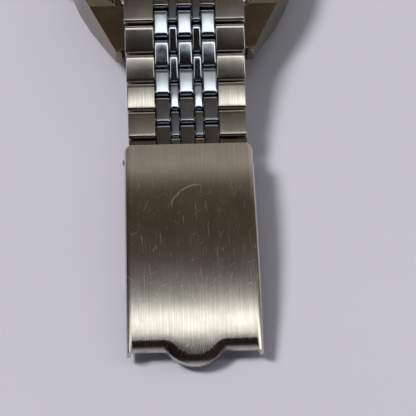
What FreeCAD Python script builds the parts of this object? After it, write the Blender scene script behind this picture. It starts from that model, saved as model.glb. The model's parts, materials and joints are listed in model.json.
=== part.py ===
import FreeCAD, Part
import math
import os
import Sketcher
from FreeCAD import Placement, Rotation, Vector

# A wristwatch with a steel case and a seven-column bracelet that ends in a folding clasp.
#
# The watch lies face down: the crystal's outer face is at z = 0 and the case back looks up (+Z). One half of
# the bracelet (half A) leaves the far lugs at +Y, passes over the case back and comes down at -Y to the
# clasp. The other half (half B) leaves the near lugs and lies flat, with its end bar free of the clasp.
# The origin is the centre of the crystal's outer face. Twelve o'clock is at +Y and the crown is at -X.
# All sizes are in millimetres.

SIZES = {
    # head, outside
    "case_width": 37.6,          # across the flanks
    "case_length": 42.4,         # lug tip to lug tip
    "head_thickness": 9.5,       # crystal's outer face to the case back's ring
    "case_front": 2.3,           # height where the bezel seats
    "case_back_thickness": 0.9,
    "lug_gap": 19.2,             # between the two lugs of one side
    "lug_tip_width": 1.3,
    "lug_tip_rise": 2.6,         # how far the lug's front surface climbs towards its tip
    "lug_tip_fall": 1.3,         # how far the lug's rear surface drops towards its tip
    "flank_corner_y": 9.6,       # where the bowed flank turns into the straight one
    "flank_corner_x": 16.6,
    "lug_slope_start": 12.5,     # where the lug's faces start to slope
    "lug_tip_round": 0.5,
    "lug_end_gap": 0.45,         # between a link's round end and the case
    "bar_inset": 2.45,           # lug tip to spring bar axis
    "bar_below_back": 3.0,       # spring bar axis below the case back's ring
    "bar_radius": 0.75,
    "bar_tip_radius": 0.45,
    "bar_tip_length": 0.9,
    # head, inside
    "crystal_radius": 15.3,
    "crystal_thickness": 1.5,
    "crystal_gasket_width": 0.45,
    "bezel_radius": 17.4,
    "bezel_rise": 0.3,           # bezel's front face behind the crystal's
    "dial_radius": 14.7,
    "dial_thickness": 0.4,
    "dial_height": 2.9,
    "dial_window_radius": 14.3,
    "cavity_radius": 15.0,
    "plate_radius": 14.85,
    "plate_thickness": 1.5,
    "back_radius": 16.2,
    "back_skirt_depth": 1.0,
    "back_skirt_wall": 0.65,
    "back_groove_radius": 14.0,
    "gasket_width": 0.6,
    "gasket_thickness": 0.35,
    # dial and hands
    "marker_long": 2.4,
    "marker_short": 1.8,
    "marker_wide": 1.1,
    "marker_narrow": 0.7,
    "marker_height": 0.2,
    "marker_inset": 3.6,         # from the dial window to a marker's inner end
    "hand_hub_length": 1.2,      # hand's full width, as a share of its hub's radius
    "hour_height": 2.42,
    "hour_thickness": 0.16,
    "hour_hub": 1.15,
    "hour_reach": 8.2,
    "hour_root": 1.5,
    "hour_tip": 0.7,
    "minute_height": 2.12,
    "minute_thickness": 0.16,
    "minute_hub": 1.0,
    "minute_reach": 12.2,
    "minute_root": 1.2,
    "minute_tip": 0.5,
    "second_height": 1.84,
    "second_thickness": 0.14,
    "second_hub": 0.8,
    "second_reach": 12.8,
    "second_root": 0.35,
    "second_tip": 0.2,
    # movement
    "front_post_end": 1.7,       # height of the centre post's front end
    "post_overlap": 0.1,
    "rotor_post_radius": 0.7,
    "rotor_post_height": 4.1,
    "drum_post_radius": 0.4,
    "drum_post_height": 2.9,
    "drum_radius": 5.2,
    "drum_height": 1.3,
    "drum_lift": 0.1,            # mainspring barrel above the plate
    "balance_post_radius": 0.25,
    "balance_post_height": 2.6,
    "balance_radius": 4.0,
    "balance_rim": 0.6,
    "balance_arm": 0.7,
    "balance_hub": 0.8,
    "balance_lift": 0.4,
    "balance_thickness": 0.4,
    "rotor_lift": 1.75,
    "rotor_thickness": 0.7,
    "rotor_hub": 2.2,
    "rotor_clearance": 0.45,
    # keyless works and crown
    "stem_inset": 4.2,           # stem's inner end inside the plate's edge
    "pinion_radius": 0.75,
    "pinion_length": 1.2,
    "pinion_inset": 1.6,
    "crown_bore_depth": 1.4,
    "crown_chamfer": 0.35,
    "flute_radius": 0.2,
    "flute_offset": 0.05,        # flute's axis outside the crown's rim
    "flute_length": 2.2,
    "stem_height": 5.6,
    "stem_radius": 0.45,
    "crown_radius": 3.0,
    "crown_length": 3.2,
    "crown_gap": 0.4,
    # fits
    "running_fit": 0.04,
    "seat_gap": 0.15,
    # bracelet
    "link_pitch": 4.9,
    "link_gap": 0.3,             # between two links of one column
    "link_thickness": 2.6,
    "link_chamfer": 0.5,
    "link_round": 1.0,           # rounding of the wrist side's ends
    "link_edge_round": 0.4,      # narrow links' outer edges
    "middle_edge_round": 0.55,   # middle links' outer edges
    "middle_width": 2.2,
    "narrow_width": 1.3,
    "column_gap": 0.1,
    "pin_radius": 0.5,
    "pin_recess": 0.2,
    "clasp_end_width": 18.0,
    "lug_side_gap": 0.2,         # lug gap less the bracelet's width there
    # clasp
    "cover_side_gap": 0.1,       # between a side wall and the bracelet
    "cover_length": 33.4,        # far edge to the straight part of the lip
    "cover_arch_radius": 90.0,
    "cover_wall_depth": 3.9,
    "cover_bar_drop": 2.6,       # spring bar axis below the cover's outer face
    "cover_bar_inset": 1.6,      # far edge to spring bar axis
    "sheet_thickness": 0.6,
    "lip_roll_radius": 2.0,
    "lip_drop": 1.5,
    "tab_half_width": 4.6,
    "tab_depth": 2.1,
    "flare_share": 0.16,         # share of the tab's curve that its two hollow ends take
    "wall_tip": 0.45,            # how far the walls reach past the lip
    "wall_end_depth": 1.9,       # depth of the walls at the lip
    "wall_end_run": 6.0,         # length over which they deepen to the full depth
    "cover_edge_round": 0.8,
    "wall_notch": 0.5,
    "adjust_pitch": 2.6,
    "lip_pin_inset": 3.4,
    "mid_pin_inset": 3.5,
    "hook_radius": 1.1,
    "blade_thickness": 0.8,
    "blade_width": 12.0,
    "blade_gap": 0.25,
    "barrel_radius": 0.95,
    "clasp_pin_radius": 0.5,
    # lying pose
    "clasp_tilt": 6.3,           # degrees that the clasp's lip end is lowered
    "table_gap": 0.05,
    "flat_gap": 0.25,            # height of half B's flat rows above the table
    "ride_gap": 0.3,             # half A above the case back
    "clasp_bar_y": -41.1,
    "clasp_bar_z": 4.6,
}

FITTED = {
    "head_end_width": "lug_gap - lug_side_gap",
    "cover_width": "clasp_end_width + 2 * (sheet_thickness + cover_side_gap)",
}

ROWS_A = 27        # half-pitch rows from the far lugs to the clasp; odd ones are outer rows
ROWS_B = 9         # half-pitch rows from the near lugs to the free end bar
TAPER_ROWS = 5     # outer rows over which the bracelet narrows towards the clasp
TIME_SHOWN = (10, 10, 35)   # hours, minutes, seconds

doc = FreeCAD.newDocument("Wristwatch")
sheet = doc.addObject("Spreadsheet::Sheet", "Sizes")
for line, (alias, amount) in enumerate(SIZES.items(), start=1):
    sheet.set(f"A{line}", alias)
    sheet.set(f"B{line}", str(amount))
    sheet.setAlias(f"B{line}", alias)
for line, (alias, formula) in enumerate(FITTED.items(), start=len(SIZES) + 1):
    sheet.set(f"A{line}", alias)
    sheet.set(f"B{line}", "=" + formula)
    sheet.setAlias(f"B{line}", alias)
doc.recompute()

POST = "0.35"                                        # centre post's radius
BARREL_SPOT = ("-4.5", "7.6")
BALANCE_SPOT = ("6.0", "-7.5")
PLATE_TOP = "(dial_height + dial_thickness + plate_thickness)"
FLANK_SAG = "(case_width / 2 - flank_corner_x)"
CROWN_SEAT = "(case_width / 2 - 0.7)"                # where the crown's flat lies on the flank
NODES = []         # every finished sub-part, in the order it was made
UP = Vector(0, 0, 1)
ACROSS = Vector(1, 0, 0)
SIDE_VIEW = Rotation(Vector(1, 1, 1), 120)    # a sketch's x runs along Y and its y along Z


def bind(thing, prop, text):
    """Tie a property to an expression in which driving dimensions are written as plain names."""
    thing.setExpression(prop, linked(text))


def linked(text):
    """The expression with every driving dimension's name pointed at the sheet."""
    out, word = "", ""
    for letter in text + " ":
        if letter.isalnum() or letter == "_":
            word += letter
            continue
        out += f"Sizes.{word}" if word in SIZES or word in FITTED else word
        out += letter
        word = ""
    return out.strip()


def worth(text):
    """The number that an expression in driving dimensions stands for."""
    found = sheet.evalExpression(linked(text))
    return float(getattr(found, "Value", found))


def node(thing, name):
    """Give a finished sub-part its name and put it on the list of nodes."""
    thing.Label = name
    NODES.append(thing)
    return thing


# ---------------------------------------------------------------------------------------------------------
# Sketches
# ---------------------------------------------------------------------------------------------------------

def pin_point(sketch, geo, point, corner):
    """Bind one point of a sketch element to its two expressions, measured from the sketch's origin."""
    for kind, text in zip(("DistanceX", "DistanceY"), corner):
        number = sketch.addConstraint(Sketcher.Constraint(kind, -1, 1, geo, point, worth(text)))
        bind(sketch, f"Constraints[{number}]", text)


def bowed(start, end, radius, bulge):
    """The shorter arc between two points: it bows to the right of the travel for +1, to the left for -1."""
    chord = end - start
    left = Vector(-chord.y, chord.x, 0).normalize()
    reach = math.sqrt(max(radius ** 2 - (chord.Length / 2) ** 2, 0.0))
    centre = (start + end) * 0.5 + left * (reach * bulge)
    first, last = (start, end) if bulge > 0 else (end, start)
    low = math.atan2(first.y - centre.y, first.x - centre.x)
    high = math.atan2(last.y - centre.y, last.x - centre.x)
    if high <= low:
        high += 2 * math.pi
    return Part.ArcOfCircle(Part.Circle(centre, UP, radius), low, high)


def outline(sketch, corners, arcs=None):
    """Draw a closed outline and bind each corner to its two expressions.

    corners is a list of (x, y) expressions. arcs maps the number of a side to its (radius, bulge); a side
    that isn't in it is straight. An arc with bulge -1 is stored backwards, so its ends swap numbers.
    """
    arcs = arcs or {}
    spots = [Vector(worth(x), worth(y), 0) for x, y in corners]
    count = len(spots)
    sides = []
    for i in range(count):
        start, end = spots[i], spots[(i + 1) % count]
        if i in arcs:
            radius, bulge = arcs[i]
            geo = sketch.addGeometry(bowed(start, end, worth(radius), bulge), False)
            number = sketch.addConstraint(Sketcher.Constraint("Radius", geo, worth(radius)))
            bind(sketch, f"Constraints[{number}]", radius)
        else:
            bulge = 1
            geo = sketch.addGeometry(Part.LineSegment(start, end), False)
        sides.append((geo, 1, 2) if bulge > 0 else (geo, 2, 1))
    for i, (geo, begin, end) in enumerate(sides):
        pin_point(sketch, geo, begin, corners[i])
        after, after_begin, after_end = sides[(i + 1) % count]
        sketch.addConstraint(Sketcher.Constraint("Coincident", geo, end, after, after_begin))


def circle(sketch, centre, radius):
    """Draw a circle whose centre and radius are bound to expressions."""
    spot = Vector(worth(centre[0]), worth(centre[1]), 0)
    geo = sketch.addGeometry(Part.Circle(spot, UP, worth(radius)), False)
    number = sketch.addConstraint(Sketcher.Constraint("Radius", geo, worth(radius)))
    bind(sketch, f"Constraints[{number}]", radius)
    pin_point(sketch, geo, 3, centre)


def free_sketch(name):
    """A side-view sketch that belongs to no body: its x runs along Y and its y along Z."""
    sketch = doc.addObject("Sketcher::SketchObject", name)
    sketch.Placement = Placement(Vector(), SIDE_VIEW)
    return sketch


# ---------------------------------------------------------------------------------------------------------
# Bodies
# ---------------------------------------------------------------------------------------------------------

def new_body(name):
    """An empty body with the name of its node."""
    return doc.addObject("PartDesign::Body", name)


def sketch_on(body, role, name, offset="0"):
    """A sketch on one of the body's own origin planes, moved off it by an expression."""
    sketch = body.newObject("Sketcher::SketchObject", name)
    plane = next(item for item in body.Origin.OriginFeatures if item.Role == role)
    sketch.AttachmentSupport = (plane, "")
    sketch.MapMode = "FlatFace"
    sketch.AttachmentOffset = Placement(Vector(0, 0, worth(offset)), Rotation())
    bind(sketch, "AttachmentOffset.Base.z", offset)
    return sketch


def pad(body, sketch, length, midplane=False):
    """Extrude a sketch along its normal by an expression."""
    feature = body.newObject("PartDesign::Pad", sketch.Name + "_pad")
    feature.Profile = sketch
    feature.Midplane = midplane
    bind(feature, "Length", length)
    return feature


def cut(body, sketch, length=None, midplane=False, upward=False):
    """Cut a sketch out of the body: against its normal, along it (upward), or both ways (midplane)."""
    doc.recompute()
    before = body.Shape.Volume
    feature = body.newObject("PartDesign::Pocket", sketch.Name + "_cut")
    feature.Profile = sketch
    feature.Midplane = midplane
    feature.Reversed = upward
    if length is None:
        feature.Type = "ThroughAll"
    else:
        bind(feature, "Length", length)
    doc.recompute()
    if not body.Shape.Volume < before - 1e-6:
        raise RuntimeError(f"{feature.Name} cuts nothing")
    return feature


def turned(name, corners):
    """A body turned about Z from an outline of (radius, height) expressions."""
    body = new_body(name)
    sketch = sketch_on(body, "XZ_Plane", name + "_outline")
    outline(sketch, corners)
    feature = body.newObject("PartDesign::Revolution", name + "_turn")
    feature.Profile = sketch
    feature.ReferenceAxis = (sketch, ["V_Axis"])
    feature.Angle = 360
    return node(body, name)


def ring(name, inner, outer, low, high):
    """A plain ring, or a disc when the inner radius is 0, between two heights."""
    return turned(name, [(inner, low), (outer, low), (outer, high), (inner, high)])


def disc_body(name, low, thickness, outer, centre=("0", "0"), bore=None):
    """A flat disc that lies at a height, with a bore about its own centre."""
    body = new_body(name)
    sketch = sketch_on(body, "XY_Plane", name + "_disc", low)
    circle(sketch, centre, outer)
    if bore:
        circle(sketch, centre, bore)
    pad(body, sketch, thickness)
    return node(body, name)


def edges_where(shape, test):
    """Names of the edges whose two ends and middle all pass a test."""
    found = []
    for number, edge in enumerate(shape.Edges, start=1):
        middle = edge.valueAt((edge.FirstParameter + edge.LastParameter) / 2)
        points = [vertex.Point for vertex in edge.Vertexes] + [middle]
        if all(test(point) for point in points):
            found.append(f"Edge{number}")
    return found


def soften(body, kind, test, amount):
    """Fillet or chamfer the edges of a body that pass a test."""
    doc.recompute()
    base = body.Tip
    names = edges_where(base.Shape, test)
    feature = body.newObject(f"PartDesign::{kind}", f"{body.Name}_{kind.lower()}")
    feature.Base = (base, names)
    bind(feature, "Radius" if kind == "Fillet" else "Size", amount)
    doc.recompute()
    return feature


# ---------------------------------------------------------------------------------------------------------
# Head
# ---------------------------------------------------------------------------------------------------------

BACK_SEAT = "(head_thickness - case_back_thickness)"          # where the case back's flange sits
BAR_Y = "(case_length / 2 - bar_inset)"
BAR_Z = "(head_thickness - bar_below_back)"
CASE_END_Y = f"({BAR_Y} - link_thickness / 2 - lug_end_gap)"   # end face of the case between the lugs


def make_case():
    """The case: a bowed block with four lugs, bored through for the movement."""
    body = new_body("case")
    plan = sketch_on(body, "XY_Plane", "case_plan", "case_front")
    tip_in, tip_out = "lug_gap / 2", "(lug_gap / 2 + lug_tip_width)"
    tip_y, corner_x, corner_y = "case_length / 2", "flank_corner_x", "flank_corner_y"
    quarter = [(tip_in, CASE_END_Y), (tip_in, tip_y), (tip_out, tip_y), (corner_x, corner_y)]
    right_far = [(x, y) for x, y in reversed(quarter)]
    left_far = [(f"-{x}", y) for x, y in quarter]
    left_near = [(f"-{x}", f"-{y}") for x, y in reversed(quarter)]
    right_near = [(x, f"-{y}") for x, y in quarter]
    corners = right_far + left_far + left_near + right_near
    bow = f"(flank_corner_y ^ 2 + ({FLANK_SAG}) ^ 2) / (2 * {FLANK_SAG})"
    outline(plan, corners, {7: (bow, 1), 15: (bow, 1)})
    pad(body, plan, f"{BACK_SEAT} - case_front")

    wedges = sketch_on(body, "YZ_Plane", "lug_wedges")
    for sign in ("", "-"):
        far = f"{sign}(case_length / 2 + 1)"
        start = f"{sign}lug_slope_start"
        outline(wedges, [(start, "case_front"), (far, "case_front - 1"), (far, "case_front + lug_tip_rise")])
        outline(wedges, [(start, BACK_SEAT), (far, f"{BACK_SEAT} + 1"), (far, f"{BACK_SEAT} - lug_tip_fall")])
    cut(body, wedges, midplane=True)

    cavity = sketch_on(body, "XY_Plane", "cavity", "dial_height")
    circle(cavity, ("0", "0"), "cavity_radius")
    cut(body, cavity, upward=True)
    window = sketch_on(body, "XY_Plane", "dial_window")
    circle(window, ("0", "0"), "dial_window_radius")
    cut(body, window, midplane=True)
    groove = sketch_on(body, "XY_Plane", "gasket_groove", BACK_SEAT)
    circle(groove, ("0", "0"), "cavity_radius + gasket_width + seat_gap")
    cut(body, groove, "gasket_thickness")

    bar_holes = sketch_on(body, "YZ_Plane", "bar_holes")
    for sign in ("", "-"):
        circle(bar_holes, (f"{sign}{BAR_Y}", BAR_Z), "bar_tip_radius")
    cut(body, bar_holes, "lug_gap + 2 * (bar_tip_length + seat_gap)", midplane=True)
    stem_hole = sketch_on(body, "YZ_Plane", "stem_hole")
    circle(stem_hole, ("0", "stem_height"), "stem_radius + running_fit")
    cut(body, stem_hole)
    crown_flat = sketch_on(body, "YZ_Plane", "crown_flat", f"-({CROWN_SEAT})")
    circle(crown_flat, ("0", "stem_height"), "crown_radius + 2 * seat_gap")
    cut(body, crown_flat)

    edge_y = worth("case_length / 2") - 0.01
    soften(body, "Fillet", lambda point: abs(point.y) > edge_y and abs(point.x) > 1, "lug_tip_round")
    return node(body, "case")


def make_head_shells():
    """Bezel, crystal with its gasket, and the case back with its gasket."""
    seat = "crystal_thickness"
    gasket_out = "(crystal_radius + crystal_gasket_width)"
    turned("bezel", [
        (gasket_out, "bezel_rise"), ("bezel_radius - 1.2", "bezel_rise"), ("bezel_radius", "case_front - 0.7"),
        ("bezel_radius", "case_front"), ("dial_window_radius", "case_front"), ("dial_window_radius", seat),
        (gasket_out, seat)])
    turned("crystal", [
        ("0", "0"), ("crystal_radius - 0.2", "0"), ("crystal_radius", "0.2"), ("crystal_radius", seat), ("0", seat)])
    ring("crystal_gasket", "crystal_radius", gasket_out, "bezel_rise + 0.1", seat)
    skirt_out = "(cavity_radius - seat_gap)"
    skirt_in = f"({skirt_out} - back_skirt_wall)"
    skirt_low = f"({BACK_SEAT} - back_skirt_depth)"
    groove = "back_groove_radius"
    back = turned("case_back", [
        ("0", BACK_SEAT), (skirt_in, BACK_SEAT), (skirt_in, skirt_low), (skirt_out, skirt_low),
        (skirt_out, BACK_SEAT), ("back_radius", BACK_SEAT), ("back_radius", "head_thickness - 0.4"),
        ("back_radius - 0.4", "head_thickness"), (f"{groove} + 0.5", "head_thickness"),
        (f"{groove} + 0.5", "head_thickness - 0.35"), (groove, "head_thickness - 0.35"),
        (groove, "head_thickness"), ("0", "head_thickness")])
    notch = sketch_on(back, "XY_Plane", "key_notch", "head_thickness")
    outer, inner = "back_radius + 1", f"{groove} + 0.5"
    outline(notch, [(inner, "-1.1"), (outer, "-1.1"), (outer, "1.1"), (inner, "1.1")])
    first = cut(back, notch, "0.45")
    spread = back.newObject("PartDesign::PolarPattern", "key_notches")
    spread.Originals = [first]
    spread.Axis = (notch, ["N_Axis"])
    spread.Angle = 360
    spread.Occurrences = 6
    back.Tip = spread
    ring("case_back_gasket", "cavity_radius + seat_gap / 2", "cavity_radius + gasket_width",
         f"{BACK_SEAT} - gasket_thickness", BACK_SEAT)


def make_dial():
    """The dial plate with its twelve applied hour markers, each a separate solid."""
    plate = doc.addObject("Part::Cylinder", "dial_plate")
    bind(plate, "Radius", "dial_radius")
    bind(plate, "Height", "dial_thickness")
    bore = doc.addObject("Part::Cylinder", "dial_bore")
    bind(bore, "Radius", f"({POST} + 3 * running_fit)")
    bind(bore, "Height", "dial_thickness")
    pierced = doc.addObject("Part::Cut", "dial_pierced")
    pierced.Base = plate
    pierced.Tool = bore
    bind(pierced, "Placement.Base.z", "dial_height")
    markers = []
    for hour in range(12):
        marker = doc.addObject("Part::Box", f"marker_{hour}")
        long = hour % 3 == 0
        bind(marker, "Length", "marker_wide" if long else "marker_narrow")
        bind(marker, "Width", "marker_long" if long else "marker_short")
        bind(marker, "Height", "marker_height")
        half = worth("marker_wide / 2" if long else "marker_narrow / 2")
        turn = Rotation(UP, 30 * hour)
        reach = turn.multVec(Vector(-half, worth("dial_window_radius - marker_inset"), 0))
        marker.Placement = Placement(reach + Vector(0, 0, worth("dial_height - marker_height")), turn)
        markers.append(marker)
    dial = doc.addObject("Part::Compound", "dial")
    dial.Links = [pierced] + markers
    return node(dial, "dial")


def make_hand(kind, degrees):
    """A hand: a hub about the centre post and a blade that tapers to its tip.

    degrees is the direction of the blade, clockwise from twelve as seen from the front.
    """
    name = kind + "_hand"
    height, root, tip, reach = f"{kind}_height", f"{kind}_root / 2", f"{kind}_tip / 2", f"{kind}_reach"
    shoulder = f"{kind}_hub * hand_hub_length"
    body = new_body(name)
    plan = sketch_on(body, "XY_Plane", name + "_plan", height)
    outline(plan, [(f"-{root}", "0"), (root, "0"), (root, shoulder), (tip, reach), (f"-{tip}", reach),
                   (f"-{root}", shoulder)])
    pad(body, plan, f"{kind}_thickness")
    boss = sketch_on(body, "XY_Plane", name + "_hub", height)
    circle(boss, ("0", "0"), f"{kind}_hub")
    pad(body, boss, f"{kind}_thickness")
    hole = sketch_on(body, "XY_Plane", name + "_bore", height)
    circle(hole, ("0", "0"), f"({POST} + running_fit)")
    cut(body, hole, midplane=True)
    body.Placement = Placement(Vector(), Rotation(UP, degrees))
    return node(body, name)


def make_hands():
    """Hour, minute and second hand at the time shown, stacked on the centre post."""
    hours, minutes, seconds = TIME_SHOWN
    minute_turn = 6 * (minutes + seconds / 60)
    make_hand("hour", 30 * (hours % 12) + minute_turn / 12)
    make_hand("minute", minute_turn)
    make_hand("second", 6 * seconds)


def make_movement():
    """Main plate with its posts, and the barrel, balance wheel and rotor that turn on them."""
    plate = new_body("movement_plate")
    low = "(dial_height + dial_thickness)"
    disc = sketch_on(plate, "XY_Plane", "plate_disc", low)
    circle(disc, ("0", "0"), "plate_radius")
    pad(plate, disc, "plate_thickness")
    front_post = sketch_on(plate, "XY_Plane", "front_post", "front_post_end")
    circle(front_post, ("0", "0"), POST)
    pad(plate, front_post, f"{low} - front_post_end + post_overlap")
    rotor_post = sketch_on(plate, "XY_Plane", "rotor_post", low)
    circle(rotor_post, ("0", "0"), "rotor_post_radius")
    pad(plate, rotor_post, "rotor_post_height")
    for name, spot in (("drum", BARREL_SPOT), ("balance", BALANCE_SPOT)):
        post = sketch_on(plate, "XY_Plane", name + "_post", low)
        circle(post, spot, name + "_post_radius")
        pad(plate, post, name + "_post_height")
    node(plate, "movement_plate")
    disc_body("mainspring_barrel", f"{PLATE_TOP} + drum_lift", "drum_height", "drum_radius", BARREL_SPOT,
              "drum_post_radius + running_fit")

    balance = new_body("balance_wheel")
    level = f"{PLATE_TOP} + balance_lift"
    x, y = BALANCE_SPOT
    rim = sketch_on(balance, "XY_Plane", "balance_rim", level)
    circle(rim, BALANCE_SPOT, "balance_radius")
    circle(rim, BALANCE_SPOT, "balance_radius - balance_rim")
    pad(balance, rim, "balance_thickness")
    arm = sketch_on(balance, "XY_Plane", "balance_arm", level)
    half_long, half_wide = "(balance_radius - balance_rim / 2)", "(balance_arm / 2)"
    outline(arm, [(f"{x} - {half_long}", f"{y} - {half_wide}"), (f"{x} + {half_long}", f"{y} - {half_wide}"),
                  (f"{x} + {half_long}", f"{y} + {half_wide}"), (f"{x} - {half_long}", f"{y} + {half_wide}")])
    pad(balance, arm, "balance_thickness")
    hub = sketch_on(balance, "XY_Plane", "balance_hub", level)
    circle(hub, BALANCE_SPOT, "balance_hub")
    pad(balance, hub, "balance_thickness")
    hole = sketch_on(balance, "XY_Plane", "balance_bore", level)
    circle(hole, BALANCE_SPOT, "balance_post_radius + running_fit")
    cut(balance, hole, midplane=True)
    node(balance, "balance_wheel")

    rotor = new_body("rotor")
    level = f"{PLATE_TOP} + rotor_lift"
    half = sketch_on(rotor, "XY_Plane", "rotor_half", level)
    reach = "(cavity_radius - back_skirt_wall - seat_gap - rotor_clearance)"
    outline(half, [(reach, "0"), (f"-{reach}", "0")], {0: (f"{reach} * 1.001", 1)})
    pad(rotor, half, "rotor_thickness")
    hub = sketch_on(rotor, "XY_Plane", "rotor_hub", level)
    circle(hub, ("0", "0"), "rotor_hub")
    pad(rotor, hub, "rotor_thickness")
    hole = sketch_on(rotor, "XY_Plane", "rotor_bore", level)
    circle(hole, ("0", "0"), "rotor_post_radius + running_fit")
    cut(rotor, hole, midplane=True)
    node(rotor, "rotor")


def make_crown_and_stem():
    """Stem with its crown outside the case and the clutch pinion inside it, all along -X."""
    stem_in = "(plate_radius - stem_inset)"
    stem_out = f"({CROWN_SEAT} + crown_gap + crown_bore_depth)"
    stem = doc.addObject("Part::Cylinder", "winding_stem")
    bind(stem, "Radius", "stem_radius")
    bind(stem, "Height", f"{stem_out} - {stem_in}")
    stem.Placement = Placement(Vector(-worth(stem_in), 0, worth("stem_height")), Rotation(Vector(0, 1, 0), -90))
    node(stem, "winding_stem")

    pinion = new_body("clutch_pinion")
    side = sketch_on(pinion, "YZ_Plane", "pinion_side", f"-({stem_in} + pinion_inset)")
    circle(side, ("0", "stem_height"), "pinion_radius")
    circle(side, ("0", "stem_height"), "stem_radius + running_fit")
    pad(pinion, side, "pinion_length")
    node(pinion, "clutch_pinion")

    crown = new_body("crown")
    outer_end, inner_end = f"({CROWN_SEAT} + crown_gap + crown_length)", f"({CROWN_SEAT} + crown_gap)"
    face = sketch_on(crown, "YZ_Plane", "crown_face", f"-{outer_end}")
    circle(face, ("0", "0"), "crown_radius")
    pad(crown, face, "crown_length")
    ends = (-worth(outer_end), -worth(inner_end))
    soften(crown, "Chamfer", lambda point: min(abs(point.x - end) for end in ends) < 0.001, "crown_chamfer")
    seat = sketch_on(crown, "YZ_Plane", "crown_bore", f"-{inner_end}")
    circle(seat, ("0", "0"), "stem_radius")
    cut(crown, seat, "crown_bore_depth")
    flute = sketch_on(crown, "YZ_Plane", "crown_flute", f"-({inner_end} + crown_length / 2)")
    circle(flute, ("crown_radius + flute_offset", "0"), "flute_radius")
    first = cut(crown, flute, "flute_length", midplane=True)
    spread = crown.newObject("PartDesign::PolarPattern", "crown_flutes")
    spread.Originals = [first]
    spread.Axis = (face, ["N_Axis"])
    spread.Angle = 360
    spread.Occurrences = 30
    crown.Tip = spread
    bind(crown, "Placement.Base.z", "stem_height")
    return node(crown, "crown")


def spring_bar(name, gap):
    """A spring bar along X: a barrel that fills the gap and a thinner tip at each end."""
    barrel = across_cylinder(name + "_barrel", "bar_radius", f"{gap} - 2 * running_fit")
    tips = across_cylinder(name + "_tips", "bar_tip_radius", f"{gap} + 2 * bar_tip_length")
    whole = doc.addObject("Part::Fuse", name)
    whole.Base = barrel
    whole.Tool = tips
    return whole


def across_cylinder(name, radius, length, y="0", z="0", start=None):
    """A cylinder along X, centred on the middle plane unless its start is given."""
    rod = doc.addObject("Part::Cylinder", name)
    bind(rod, "Radius", radius)
    bind(rod, "Height", length)
    rod.Placement = Placement(Vector(), Rotation(Vector(0, 1, 0), 90))
    bind(rod, "Placement.Base.x", start if start else f"-({length}) / 2")
    bind(rod, "Placement.Base.y", y)
    bind(rod, "Placement.Base.z", z)
    return rod


def make_lug_bars():
    """The two spring bars that carry the bracelet in the lugs."""
    bars = []
    for name, sign in (("far_bar", ""), ("near_bar", "-")):
        bar = spring_bar(name, "lug_gap")
        bind(bar, "Placement.Base.y", f"{sign}{BAR_Y}")
        bind(bar, "Placement.Base.z", BAR_Z)
        bars.append(bar)
    both = doc.addObject("Part::Compound", "lug_spring_bars")
    both.Links = bars
    return node(both, "lug_spring_bars")


# ---------------------------------------------------------------------------------------------------------
# Bracelet
# ---------------------------------------------------------------------------------------------------------

HALF_PITCH = "(link_pitch / 2)"
END = "(link_pitch / 4 - link_gap / 2)"       # how far a link reaches past its pivot
TOP = "(link_thickness / 2)"


def link_profile(name, corner, rounded, near="square", far="square", middle=False):
    """Side view of a link: the nearer pivot at the origin and the other one half a pitch along -Y.

    corner is the outer face's end chamfer, or its radius when rounded. An end is square, round (it turns about
    a spring bar) or cut off, which leaves only the stub about the other pivot (middle).
    """
    sketch = free_sketch(name)
    corners, arcs = [], {}
    if near == "round":
        arcs[len(corners)] = (TOP, 1)
        corners.append(("0", f"-{TOP}"))
        arcs[len(corners)] = (TOP, 1)
        corners.append((TOP, "0"))
        corners.append(("0", TOP))
    else:
        start = END if near == "square" else f"({END} - {HALF_PITCH})"
        arcs[len(corners)] = ("link_round", 1)
        corners.append((f"{start} - link_round", f"-{TOP}"))
        corners.append((start, f"-{TOP} + link_round"))
        if rounded:
            arcs[len(corners)] = (corner, 1)
        corners.append((start, f"{TOP} - {corner}"))
        corners.append((f"{start} - {corner}", TOP))
    if far == "round":
        arcs[len(corners)] = (TOP, 1)
        corners.append((f"-{HALF_PITCH}", TOP))
        arcs[len(corners)] = (TOP, 1)
        corners.append((f"-{HALF_PITCH} - {TOP}", "0"))
        corners.append((f"-{HALF_PITCH}", f"-{TOP}"))
    else:
        stop = f"(-{HALF_PITCH} - {END})" if far == "square" else f"-{END}"
        if rounded:
            arcs[len(corners)] = (corner, 1)
        corners.append((f"{stop} + {corner}", TOP))
        corners.append((stop, f"{TOP} - {corner}"))
        arcs[len(corners)] = ("link_round", 1)
        corners.append((stop, f"-{TOP} + link_round"))
        corners.append((f"{stop} + link_round", f"-{TOP}"))
    outline(sketch, corners, arcs)
    return sketch


def bore(sketch, far, radius):
    """A pivot hole in a link's side view."""
    circle(sketch, (f"-{HALF_PITCH}" if far else "0", "0"), radius)


def column(name, sketch, start, width):
    """One link: its side view extruded across a column that starts at an X expression."""
    link = doc.addObject("Part::Extrusion", name)
    link.Base = sketch
    link.DirMode = "Normal"
    link.Solid = True
    bind(link, "LengthFwd", width)
    bind(link, "Placement.Base.x", start)
    return link


def row(name, pieces):
    """A row of links: a group of separate solids under one name."""
    group = doc.addObject("Part::Compound", name)
    group.Links = pieces
    return node(group, name)


NARROW_START = "(middle_width / 2 + column_gap)"
SIDE_START = f"({NARROW_START} + narrow_width + column_gap)"
OUTER_START = f"({SIDE_START} + middle_width + column_gap)"


def middle_columns(name, sketch):
    """Three middle links from one side view."""
    return [
        column(name + "_left", sketch, f"-{SIDE_START} - middle_width", "middle_width"),
        column(name + "_centre", sketch, "-middle_width / 2", "middle_width"),
        column(name + "_right", sketch, SIDE_START, "middle_width")]


def row_width(rows_from_clasp):
    """Width of an outer row that lies so many rows from the clasp, as an expression."""
    share = min(rows_from_clasp / TAPER_ROWS, 1)
    return f"(clasp_end_width + (head_end_width - clasp_end_width) * {share})"


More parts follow.
